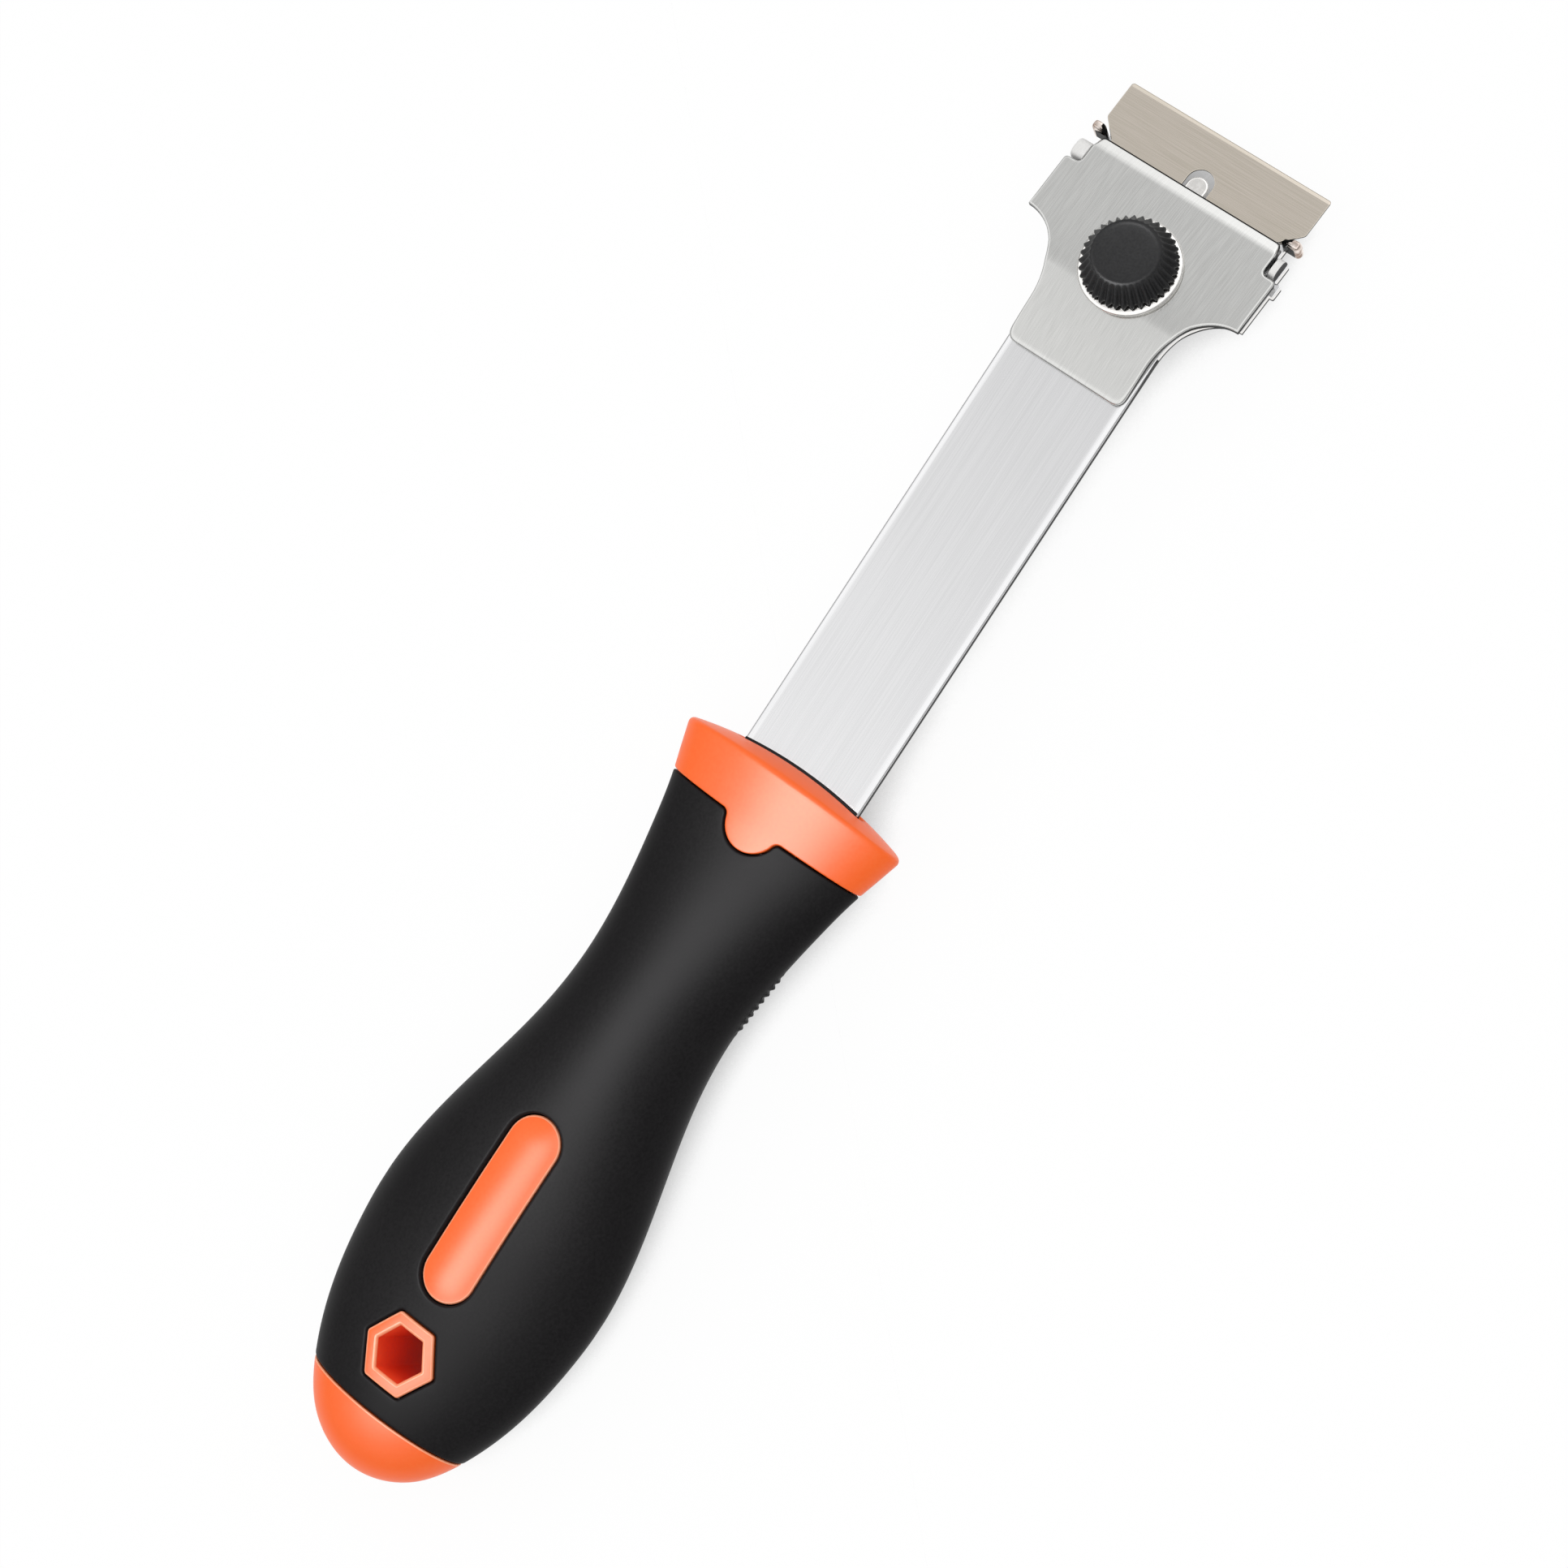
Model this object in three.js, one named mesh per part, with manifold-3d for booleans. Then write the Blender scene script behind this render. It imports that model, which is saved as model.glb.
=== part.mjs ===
// Glue scraper: a two-colour grip handle, a flat steel shank with a bent T-shaped head,
// and a clamp cover that a fluted knob presses onto a replaceable scraper blade.
// Millimetres. The tool lies with its knob up: +X towards the blade, +Y to its left, +Z up.
import * as THREE from 'three';
import { mergeVertices } from 'three/addons/utils/BufferGeometryUtils.js';
import ManifoldModule from 'manifold-3d';

const manifold = await ManifoldModule();
manifold.setup();

// Clearances, and how far a tab runs into the sheet it grows from
const fitGap = 0.25;
const runGap = 0.4;
const rootLength = 2;

// Places along the tool, from the plane of the collar's side corners
const buttX = -132;
const sleeveRearX = -120.6;
const collarRearX = -7.9;
const collarCrownX = 3.5;
const bendX = 93.7;

// Handle: half width and half depth of the oval grip, from the butt to the collar
const handleStations = [
  [buttX, 0, 0],
  [buttX + 1.4, 6.2, 3.7],
  [buttX + 5, 11.3, 6.6],
  [sleeveRearX, 15.6, 8.8],
  [-110, 19.7, 10.2],
  [-98, 21.9, 11.2],
  [-88, 22.4, 11.8],
  [-76, 20.9, 12.1],
  [-63, 17.8, 11.9],
  [-50, 15, 11.1],
  [-40, 14.2, 10.2],
  [-28, 15.1, 9],
  [-16, 17.2, 7.9],
  [collarRearX, 19.1, 7.4],
  [-5, 20, 7.8],
  [-2, 20.9, 8.15],
  [2, 22.1, 8.55],
  [6, 23.2, 8.9],
];
const ovalSides = 32;
const sleeveThickness = 2;
const coreReach = 4;
const crownLength = 40;
const crownHalfWidth = 56.5;
const crownHalfDepth = 28.6;
const windowCentreX = -81.7;
const windowStraight = 25;
const windowRadius = 5.1;
const hexCentreX = -109.9;
const hexOuterRadius = 7.35;
const hexHoleRadius = 4.75;
const tabForward = 0.75;
const tabRadius = 5.1;
const tabFillet = 1.2;

// Blade. Places on the bent head are measured from its bend.
const bladeHalfWidth = 19.5;
const bladeDepth = 18.9;
const bladeThickness = 0.4;
const bladeEdge = 30.9;
const bladeEdgeThickness = 0.08;
const bladeSide = 7;
const bladeChamfer = 3.35;
const bladeBevel = 0.65;
const slotHalfWidth = 2.35;
const slotEnd = 24.7;
const tongueHalfWidth = 1.85;
const tongueEnd = 23.4;

// Shank and its head
const plateThickness = 1.5;
const barHalfWidth = 11.65;
const tangHalfWidth = 8;
const tangRearX = -64;
const shoulderX = -2;
const headPitch = THREE.MathUtils.degToRad(12.4);
const bendRadius = 9;
const earTip = 4.6;
const earHalfWidth = bladeHalfWidth + 1.1;
const earFilletLength = 11.5;
const plateFront = 20.3;
const lugThickness = 1.5;
const lugInset = 0.4;
const lugTop = 2.7;
const lugCorner = 0.8;
const sideLugLength = 3.6;
const stubLength = 2.3;
const stubReach = 0.7;

// Clamp cover
const coverThickness = 1.2;
const coverFront = 20.5;
const coverRear = -14.2;
const coverRearHalfWidth = 11.4;
const coverCorner = 2;
const coverLip = 2;
const coverLipDrop = 0.9;
const notchRear = 14.6;
const notchFillet = 1.2;
const notchHalfWidth = bladeHalfWidth - 1.6;
const coverFrontHalfWidth = bladeHalfWidth - 2.15;

// Knob, screw, washer and nut share one axis
const knobPlace = 4.3;
const washerRadius = 8.5;
const washerThickness = 0.8;
const knobTeeth = 36;
const screwRadius = 2.4;
const screwTip = -6.4;
const screwSeat = 2.8;
const nutAcrossFlats = 8;
const nutThickness = 3.6;

// Knob profile from its foot to its dished top: height, radius, depth of the flutes
const knobProfile = [
  [0, 7.7, 0.6],
  [0.3, 8, 0.7],
  [0.9, 8, 0.7],
  [1.9, 7.4, 0.65],
  [3, 6.75, 0.5],
  [3.9, 6.2, 0.3],
  [4.4, 5.8, 0],
  [4.7, 5.3, 0],
  [4.7, 4.9, 0],
  [4.5, 3.6, 0],
  [4.4, 1.8, 0],
];

// Heights above the middle of the sheet, in the head's own frame
const plateTop = plateThickness / 2;
const bladeLow = plateTop + fitGap;
const bladeHigh = bladeLow + bladeThickness;
const coverLow = bladeHigh + fitGap;
const coverHigh = coverLow + coverThickness;
const washerLow = coverHigh + fitGap;
const knobLow = washerLow + washerThickness + fitGap;
const nutHigh = -plateTop - fitGap;
const beyond = 60;

function toSolid(geometry) {
  const bare = geometry.clone();
  bare.deleteAttribute('normal');
  bare.deleteAttribute('uv');
  const merged = mergeVertices(bare, 1e-4);
  return new manifold.Manifold(new manifold.Mesh({
    numProp: 3,
    vertProperties: new Float32Array(merged.attributes.position.array),
    triVerts: new Uint32Array(merged.index.array),
  }));
}

function toGeometry(solid) {
  const mesh = solid.getMesh();
  const geometry = new THREE.BufferGeometry();
  geometry.setAttribute('position', new THREE.BufferAttribute(mesh.vertProperties, 3));
  geometry.setIndex(new THREE.BufferAttribute(mesh.triVerts, 1));
  return geometry;
}

function pointsShape(points) {
  const corners = points.map(([x, y]) => new THREE.Vector2(x, y));
  return new THREE.Shape(corners.filter((corner, place) => {
    const before = corners[(place + corners.length - 1) % corners.length];
    return corner.distanceTo(before) > 1e-4;
  }));
}

// A shape that is the same on both sides: its left half runs from the rear to the front
function mirroredShape(leftHalf) {
  const rightHalf = leftHalf.map(([x, y]) => [x, -y]);
  return pointsShape([...rightHalf, ...leftHalf.toReversed()]);
}

function arcPoints(x, y, radiusX, radiusY, from, to, steps) {
  const curve = new THREE.EllipseCurve(x, y, radiusX, radiusY, from, to, to < from);
  return curve.getPoints(steps).map((point) => [point.x, point.y]);
}

// A shape drawn in X and Y, standing from one height to another
function prism(shape, low, high) {
  const geometry = new THREE.ExtrudeGeometry(shape, { depth: high - low, bevelEnabled: false });
  return toSolid(geometry.translate(0, 0, low));
}

// A side view drawn in X and Z, running across the tool from one Y to another
function crossPrism(shape, fromY, toY) {
  const geometry = new THREE.ExtrudeGeometry(shape, { depth: toY - fromY, bevelEnabled: false });
  return toSolid(geometry.rotateX(Math.PI / 2).translate(0, toY, 0));
}

function box(lowX, highX, halfY, lowZ, highZ) {
  const geometry = new THREE.BoxGeometry(highX - lowX, 2 * halfY, highZ - lowZ);
  return toSolid(geometry.translate((lowX + highX) / 2, 0, (lowZ + highZ) / 2));
}

// A round or many-sided bar on the knob's axis
function disc(radius, low, high, sides = 32) {
  const geometry = new THREE.CylinderGeometry(radius, radius, high - low, sides);
  return toSolid(geometry.rotateX(Math.PI / 2).translate(knobPlace, 0, (low + high) / 2));
}

// Rings with equal numbers of points become one closed body
function loft(rings) {
  const count = rings[0].length;
  const positions = rings.flat().flatMap((point) => [point.x, point.y, point.z]);
  const index = [];
  for (let ring = 0; ring < rings.length - 1; ring += 1) {
    for (let side = 0; side < count; side += 1) {
      const a = ring * count + side;
      const b = ring * count + ((side + 1) % count);
      index.push(a, b, a + count, b, b + count, a + count);
    }
  }
  [0, rings.length - 1].forEach((ring) => {
    const centre = positions.length / 3;
    const sum = rings[ring].reduce((total, point) => total.add(point), new THREE.Vector3());
    positions.push(sum.x / count, sum.y / count, sum.z / count);
    for (let side = 0; side < count; side += 1) {
      const a = ring * count + side;
      const b = ring * count + ((side + 1) % count);
      index.push(...(ring === 0 ? [centre, b, a] : [centre, a, b]));
    }
  });
  const geometry = new THREE.BufferGeometry();
  geometry.setAttribute('position', new THREE.Float32BufferAttribute(positions, 3));
  geometry.setIndex(index);
  return toSolid(geometry);
}

function part(name, solid, color, roughness, metalness) {
  const material = new THREE.MeshStandardMaterial({ color, roughness, metalness });
  const mesh = new THREE.Mesh(toGeometry(solid), material);
  mesh.name = name;
  return mesh;
}

// The handle is one smooth oval body, which the core and the sleeve share out between them
const handleCurve = new THREE.CatmullRomCurve3(
  handleStations.map(([x, width, depth]) => new THREE.Vector3(x, width, depth)),
);
const handlePlaces = handleCurve.getPoints(2 * (handleStations.length - 1));

function ovalBody(inset) {
  return loft(handlePlaces.map((place) => Array.from({ length: ovalSides }, (_, side) => {
    const angle = (2 * Math.PI * side) / ovalSides;
    const width = Math.max(place.y - inset, 0.05);
    const depth = Math.max(place.z - inset, 0.05);
    return new THREE.Vector3(place.x, width * Math.cos(angle), depth * Math.sin(angle));
  })));
}

function windowShape(inset) {
  const half = windowStraight / 2;
  const radius = windowRadius - inset;
  return pointsShape([
    ...arcPoints(windowCentreX + half, 0, radius, radius, -Math.PI / 2, Math.PI / 2, 10),
    ...arcPoints(windowCentreX - half, 0, radius, radius, Math.PI / 2, 1.5 * Math.PI, 10),
  ]);
}

function hexShape(radius) {
  return pointsShape(Array.from({ length: 6 }, (_, corner) => {
    const angle = (corner + 0.5) * (Math.PI / 3);
    return [hexCentreX + radius * Math.cos(angle), radius * Math.sin(angle)];
  }));
}

// The collar seen from above: a straight rear edge with a round tab on the middle line
function collarShape(inset) {
  const rear = collarRearX + inset;
  const radius = tabRadius - inset;
  const fillet = tabFillet + inset;
  const apart = tabForward - inset + fillet;
  const reach = Math.sqrt((radius + fillet) ** 2 - apart ** 2);
  const meet = Math.atan2(apart, reach);
  return mirroredShape([
    ...arcPoints(collarRearX + tabForward, 0, radius, radius, Math.PI, Math.PI / 2 + meet, 8),
    ...arcPoints(rear - fillet, reach, fillet, fillet, meet - Math.PI / 2, 0, 4),
    [rear, beyond],
    [beyond, beyond],
  ]);
}

// The collar's front is a shallow dome, part of a large ellipsoid
const dome = new THREE.SphereGeometry(1, 64, 32);
dome.scale(crownLength, crownHalfWidth, crownHalfDepth);
dome.translate(collarCrownX - crownLength, 0, 0);
const domeReach = toSolid(dome).add(box(2 * buttX, collarCrownX - crownLength, beyond, -beyond, beyond));
const handleWhole = ovalBody(0).intersect(domeReach);

const butt = handleWhole.intersect(box(2 * buttX, sleeveRearX - fitGap / 2, beyond, -beyond, beyond));
const collar = handleWhole.intersect(prism(collarShape(fitGap / 2), -beyond, beyond));
const windowPads = handleWhole.intersect(prism(windowShape(fitGap), -beyond, beyond));
const hexBoss = handleWhole.intersect(prism(hexShape(hexOuterRadius - fitGap), -beyond, beyond));
const hexHole = prism(hexShape(hexHoleRadius), -beyond, beyond);
const slotTop = plateTop + runGap;
const tangSlot = box(tangRearX - runGap, beyond, tangHalfWidth + runGap, -slotTop, slotTop);
const barSlot = box(shoulderX - runGap, beyond, barHalfWidth + runGap, -slotTop, slotTop);
const handleCore = ovalBody(sleeveThickness + fitGap)
  .intersect(box(sleeveRearX - coreReach, collarRearX + coreReach, beyond, -beyond, beyond))
  .add(butt)
  .add(collar)
  .add(windowPads)
  .add(hexBoss)
  .subtract(hexHole)
  .subtract(tangSlot)
  .subtract(barSlot);

const gripSleeve = handleWhole
  .subtract(box(2 * buttX, sleeveRearX + fitGap / 2, beyond, -beyond, beyond))
  .subtract(prism(collarShape(-fitGap / 2), -beyond, beyond))
  .subtract(ovalBody(sleeveThickness))
  .subtract(prism(windowShape(0), -beyond, beyond))
  .subtract(prism(hexShape(hexOuterRadius), -beyond, beyond));

// A bent sheet seen from the side, in the head's frame: its front lies along X, its rear falls away
function bentStrip(rear, front, low, high, pitch, lip) {
  const start = bendRadius * Math.tan(pitch / 2);
  const turn = [0, 0.25, 0.5, 0.75, 1].map((share) => share * pitch);
  const bow = (height) => turn.map((angle) => [
    start - (bendRadius + height) * Math.sin(angle),
    (bendRadius + height) * Math.cos(angle) - bendRadius,
  ]);
  const tail = (height) => [
    (rear + start) * Math.cos(pitch) + bow(height)[4][0],
    (rear + start) * Math.sin(pitch) + bow(height)[4][1],
  ];
  const nose = lip > 0
    ? arcPoints(front - lip, high - coverLipDrop, lip, coverLipDrop, 0, Math.PI / 2, 5)
    : [[front, high]];
  return pointsShape([tail(low), ...bow(low).toReversed(), [front, low], ...nose, ...bow(high), tail(high)]);
}

// The concave curve from the bar's side out to the tip of an ear
function earCurve(narrow, wide) {
  return arcPoints(earTip - earFilletLength, wide, earFilletLength, wide - narrow, -Math.PI / 2, 0, 10);
}

// Shank: tang, bar and head plate are one sheet
const alongBar = (x) => (x - bendX) * Math.cos(headPitch);
const plateHalfWidth = earHalfWidth - fitGap;
const lugOutside = plateHalfWidth - lugInset;
const lugRear = notchRear + 2 * fitGap;
const shankShape = mirroredShape([
  [alongBar(tangRearX) - plateThickness, tangHalfWidth],
  [alongBar(shoulderX), tangHalfWidth],
  [alongBar(shoulderX), barHalfWidth],
  ...earCurve(barHalfWidth, plateHalfWidth),
  [lugRear - stubLength, plateHalfWidth],
  [lugRear - stubLength, plateHalfWidth + stubReach],
  [lugRear, plateHalfWidth + stubReach],
  [lugRear, lugOutside],
  [plateFront, lugOutside],
]);
const shankStrip = bentStrip(tangRearX - bendX, plateFront, -plateTop, plateTop, headPitch, 0);
const shankSheet = crossPrism(shankStrip, -beyond, beyond).intersect(prism(shankShape, -beyond, beyond));

// Side lugs stand up through the cover's corner notches, with flat tops and rounded ends
const lugFront = lugRear + sideLugLength;
const sideLugShape = pointsShape([
  [lugRear, -plateTop],
  [lugFront, -plateTop],
  ...arcPoints(lugFront - lugCorner, lugTop - lugCorner, lugCorner, lugCorner, 0, Math.PI / 2, 5),
  ...arcPoints(lugRear + lugCorner, lugTop - lugCorner, lugCorner, lugCorner, Math.PI / 2, Math.PI, 5),
]);
const sideLugs = crossPrism(sideLugShape, lugOutside - lugThickness, lugOutside)
  .add(crossPrism(sideLugShape, -lugOutside, lugThickness - lugOutside));

// Front lugs stop the blade's chamfered corners
const chamferFront = bladeEdge - bladeSide;
const chamferY = (x) => bladeHalfWidth - chamferFront + x + 2 * fitGap;
const frontLugRear = coverFront + fitGap;
const frontLugFront = frontLugRear + lugThickness;
const frontLug = (side) => {
  const foot = [
    [frontLugRear - rootLength, chamferY(frontLugRear)],
    [frontLugRear, chamferY(frontLugRear)],
    [frontLugFront, chamferY(frontLugFront)],
    [frontLugFront, lugOutside],
    [frontLugRear - rootLength, lugOutside],
  ];
  const upright = foot.map(([x, y]) => [Math.max(x, frontLugRear), y]);
  const turned = (points) => pointsShape(side > 0 ? points : points.map(([x, y]) => [x, -y]).toReversed());
  return prism(turned(foot), -plateTop, plateTop).add(prism(turned(upright), -plateTop, lugTop));
};

// A round-ended tongue reaches into the blade's slot
const tongueShape = pointsShape([
  [plateFront - rootLength, tongueHalfWidth],
  [plateFront - rootLength, -tongueHalfWidth],
  ...arcPoints(tongueEnd - tongueHalfWidth, 0, tongueHalfWidth, tongueHalfWidth,
    -Math.PI / 2, Math.PI / 2, 10),
]);
const shank = shankSheet
  .add(sideLugs)
  .add(frontLug(1))
  .add(frontLug(-1))
  .add(prism(tongueShape, -plateTop, bladeHigh))
  .subtract(disc(screwRadius + runGap, -beyond, beyond));

// Clamp cover: it meets the bar at its rear end and the blade at its lip, a little clear of the bend
const coverRake = Math.asin((coverLow - plateTop - fitGap) / -coverRear);
const coverShape = mirroredShape([
  ...arcPoints(coverRear + coverCorner, coverRearHalfWidth - coverCorner, coverCorner, coverCorner,
    Math.PI, Math.PI / 2, 5),
  ...earCurve(coverRearHalfWidth, earHalfWidth),
  [notchRear, earHalfWidth],
  ...arcPoints(notchRear + notchFillet, notchHalfWidth + notchFillet, notchFillet, notchFillet,
    Math.PI, 1.5 * Math.PI, 5),
  [coverFront, coverFrontHalfWidth],
]);
const coverStrip = bentStrip(2 * coverRear, coverFront, coverLow, coverHigh, headPitch + coverRake, coverLip);
const clampCover = crossPrism(coverStrip, -beyond, beyond)
  .intersect(prism(coverShape, -beyond, beyond))
  .subtract(disc(screwRadius + runGap, -beyond, beyond));

// Blade: chamfered rear corners, a slot open to the rear and a ground edge
const bladeRear = bladeEdge - bladeDepth;
const bladeShape = mirroredShape([
  [bladeRear, bladeHalfWidth - bladeChamfer],
  [chamferFront - bladeChamfer, bladeHalfWidth - bladeChamfer],
  [chamferFront, bladeHalfWidth],
  [bladeEdge, bladeHalfWidth],
]);
const bladeMiddle = (bladeLow + bladeHigh) / 2;
const bladeSideView = pointsShape([
  [bladeRear, bladeLow],
  [bladeEdge - bladeBevel, bladeLow],
  [bladeEdge, bladeMiddle - bladeEdgeThickness / 2],
  [bladeEdge, bladeMiddle + bladeEdgeThickness / 2],
  [bladeEdge - bladeBevel, bladeHigh],
  [bladeRear, bladeHigh],
]);
const slotShape = pointsShape([
  [bladeRear - rootLength, slotHalfWidth],
  [bladeRear - rootLength, -slotHalfWidth],
  ...arcPoints(slotEnd - slotHalfWidth, 0, slotHalfWidth, slotHalfWidth, -Math.PI / 2, Math.PI / 2, 10),
]);
const blade = crossPrism(bladeSideView, -beyond, beyond)
  .intersect(prism(bladeShape, -beyond, beyond))
  .subtract(prism(slotShape, -beyond, beyond));

// Knob: a fluted skirt that narrows to a smooth, dished top
function knobRing([height, radius, flute]) {
  return Array.from({ length: 2 * knobTeeth }, (_, side) => {
    const angle = (Math.PI * side) / knobTeeth;
    const reach = radius - (side % 2) * flute;
    return new THREE.Vector3(knobPlace + reach * Math.cos(angle), reach * Math.sin(angle), knobLow + height);
  });
}
const screwHigh = knobLow + screwSeat;
const knob = loft(knobProfile.map(knobRing)).subtract(disc(screwRadius + fitGap, 0, screwHigh + fitGap));
const clampScrew = disc(screwRadius, screwTip, screwHigh);
const washer = disc(washerRadius, washerLow, washerLow + washerThickness)
  .subtract(disc(screwRadius + runGap, 0, beyond));
const backNut = disc(nutAcrossFlats / (2 * Math.cos(Math.PI / 6)), nutHigh - nutThickness, nutHigh, 6)
  .subtract(disc(screwRadius + runGap, -beyond, beyond));

// The head's pieces stand in the bent head's frame
const head = new THREE.Group();
head.position.x = bendX;
head.rotation.y = headPitch;
head.add(
  part('shank', shank, 0xd2d1cf, 0.3, 1),
  part('clamp_cover', clampCover, 0xc4c3c1, 0.32, 1),
  part('blade', blade, 0xb8aea1, 0.35, 1),
  part('washer', washer, 0xdcdcda, 0.2, 1),
  part('knob', knob, 0x262627, 0.45, 0),
  part('clamp_screw', clampScrew, 0xb9b9b7, 0.3, 1),
  part('back_nut', backNut, 0xb4b4b2, 0.3, 1),
);

const tool = new THREE.Group();
tool.add(
  part('handle_core', handleCore, 0xff7a45, 0.4, 0),
  part('grip_sleeve', gripSleeve, 0x2b2a2a, 0.6, 0),
  head,
);

// The origin is under the middle of the tool, on the plane that its grip rests on
const extent = new THREE.Box3().setFromObject(tool, true);
tool.position.set(-(extent.min.x + extent.max.x) / 2, 0, -extent.min.z);

const scraper = new THREE.Group();
scraper.add(tool);

export default scraper;
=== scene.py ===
import math

import bmesh
import bpy
import numpy as np
from mathutils import Matrix, Vector
from mathutils.geometry import delaunay_2d_cdt


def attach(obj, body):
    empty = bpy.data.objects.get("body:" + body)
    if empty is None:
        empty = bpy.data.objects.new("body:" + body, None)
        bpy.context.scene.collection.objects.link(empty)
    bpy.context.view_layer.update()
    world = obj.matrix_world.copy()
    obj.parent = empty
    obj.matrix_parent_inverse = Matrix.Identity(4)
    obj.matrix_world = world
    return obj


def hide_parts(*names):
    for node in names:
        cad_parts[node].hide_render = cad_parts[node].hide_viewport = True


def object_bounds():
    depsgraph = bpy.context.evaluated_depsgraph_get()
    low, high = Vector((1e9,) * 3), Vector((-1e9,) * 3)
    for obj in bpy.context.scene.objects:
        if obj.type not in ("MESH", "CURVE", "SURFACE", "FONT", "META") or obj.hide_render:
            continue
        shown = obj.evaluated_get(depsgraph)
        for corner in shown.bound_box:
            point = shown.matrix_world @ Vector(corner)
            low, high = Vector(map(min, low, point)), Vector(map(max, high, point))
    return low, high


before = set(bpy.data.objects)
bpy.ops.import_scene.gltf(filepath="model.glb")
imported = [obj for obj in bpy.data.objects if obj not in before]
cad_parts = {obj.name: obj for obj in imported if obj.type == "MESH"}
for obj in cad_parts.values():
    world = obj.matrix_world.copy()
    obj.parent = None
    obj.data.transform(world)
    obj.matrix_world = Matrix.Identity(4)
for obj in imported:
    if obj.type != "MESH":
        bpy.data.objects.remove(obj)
cad_low, cad_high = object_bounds()

# Every size below is in millimetres, as on the maker's drawing, until it reaches Blender.
MM = 0.001

# Handle: place along the tool, half width and half depth of the oval grip
BUTT_X = -132.0
GRIP_STATIONS = [
    (BUTT_X, 0, 0), (-130.6, 6.2, 3.7), (-127, 11.3, 6.6), (-120.6, 15.6, 8.8), (-110, 19.7, 10.2),
    (-98, 21.9, 11.2), (-88, 22.4, 11.8), (-76, 20.9, 12.1), (-63, 17.8, 11.9), (-50, 15, 11.1),
    (-40, 14.2, 10.2), (-28, 15.1, 9), (-16, 17.2, 7.9), (-7.9, 19.1, 7.4), (-5, 20, 7.8),
    (-2, 20.9, 8.15), (2, 22.1, 8.55), (6, 23.2, 8.9),
]
SLEEVE_REAR_X = -120.6
COLLAR_REAR_X = -7.9
COLLAR_CROWN_X = 3.5
CROWN = (40.0, 56.5, 28.6)
COLLAR_CORNER = 1.1
MOUTH_WIDTH, MOUTH_DEPTH = 1.3, 1.4
WINDOW_X, WINDOW_STRAIGHT, WINDOW_RADIUS = -81.7, 25.0, 5.1
HEX_X, HEX_OUTER, HEX_HOLE = -109.9, 7.35, 4.75
HEX_FLAT = math.cos(math.radians(30))
POCKET_CORNER, BOSS_CORNER, HOLE_CORNER, HOLE_ROUND = 0.9, 0.8, 0.25, 0.5
TAB_FORWARD, TAB_RADIUS, TAB_FILLET = 0.75, 5.1, 1.2
RIBS_FROM, RIBS_TO, RIB_PITCH, RIB_HEIGHT, RIB_FADE = -38.5, -24.5, 1.4, 0.45, 3.0
PART_LINE_GAP = 0.14
PART_LINE_ROUND = 0.32
POCKET_GAP = 0.24
PAD_SINK, PAD_ROUND = 0.6, 0.35
POCKET_ROUND = 0.5
WALL_DEPTH = 1.6
BAR_GAP, BAR_CORNER = 0.15, 0.2

# Bent steel head: places are measured from the bend, heights from the middle of the sheet
BEND_X = 93.7
HEAD_PITCH = math.radians(12.4)
BEND_RADIUS = 9.0
SHEET_HALF = 0.75
BAR_HALF_WIDTH = 11.65
EAR_TIP, EAR_HALF_WIDTH, EAR_FILLET = 4.6, 20.6, 11.5
PLATE_HALF_WIDTH = 20.35
PLATE_FRONT = 20.3
COVER_LOW, COVER_HIGH = 1.65, 2.85
COVER_FRONT, COVER_REAR, COVER_REAR_HALF_WIDTH = 20.5, -14.2, 11.4
COVER_LIP, LIP_SOFT, LIP_SLOPE, LIP_BROW = 2.5, 0.9, 0.3, 0.34
NOTCH_REAR, NOTCH_HALF_WIDTH, COVER_FRONT_HALF_WIDTH = 14.6, 17.9, 17.35
BLADE_LOW, BLADE_HIGH = 1.0, 1.4
BLADE_REAR, BLADE_EDGE, BLADE_SIDE, BLADE_HALF_WIDTH = 12.0, 30.89, 7.0, 19.5
BLADE_CHAMFER, BLADE_BEVEL, BEVEL_DEPTH, SLOT_HALF_WIDTH, SLOT_END = 3.35, 0.65, 0.16, 2.35, 24.7
LUG_OUTSIDE, LUG_THICKNESS, LUG_TOP, SIDE_LUG_LENGTH = 19.95, 1.5, 2.7, 3.6
STUB_LENGTH, STUB_REACH = 2.3, 0.7
TONGUE_TIP, TONGUE_RADIUS = 23.4, 1.85
KNOB_PLACE = 4.3
WASHER_LOW, WASHER_HIGH, WASHER_RADIUS = 3.1, 3.9, 8.5
KNOB_LOW = 4.15
KNOB_TEETH = 36
SCREW_RADIUS, SCREW_TIP, SCREW_PITCH, THREAD_DEPTH = 2.4, -6.4, 0.8, 0.4
HOLE_CLEARANCE = 0.4
NUT_LOW, NUT_HIGH, NUT_ACROSS_FLATS = -4.6, -1.0, 8.0

# Where each finish stands in the handle's list and in the sheets' list. In the handle's list the rim finish
# is a painted highlight, the bore finish is partly painted shade, and the rubber one, in the collar, paints a
# contact shadow; in the sheets' list the wall finish is a painted dark reflection, the fourth paints
# reflection patches and the satin one is a pale painted highlight.
FLUSH, RIM, BORE, RUBBER = range(4)
FACE, WALL, BRIGHT, REFLECTED_PATCHES, SATIN = range(5)

# The tool's own frame starts at the collar's side corners, in the middle of the bar
TOOL_ORIGIN = np.array([cad_low.x / MM - BUTT_X, 0.0, 12.1])


def columns(*parts):
    """Points from their coordinates; a single number holds for every point."""
    return np.column_stack(np.broadcast_arrays(*parts))


def in_tool(x, y, z):
    """Points in metres from places along the tool, to its left and up."""
    return (columns(x, y, z) + TOOL_ORIGIN) * MM


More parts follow.
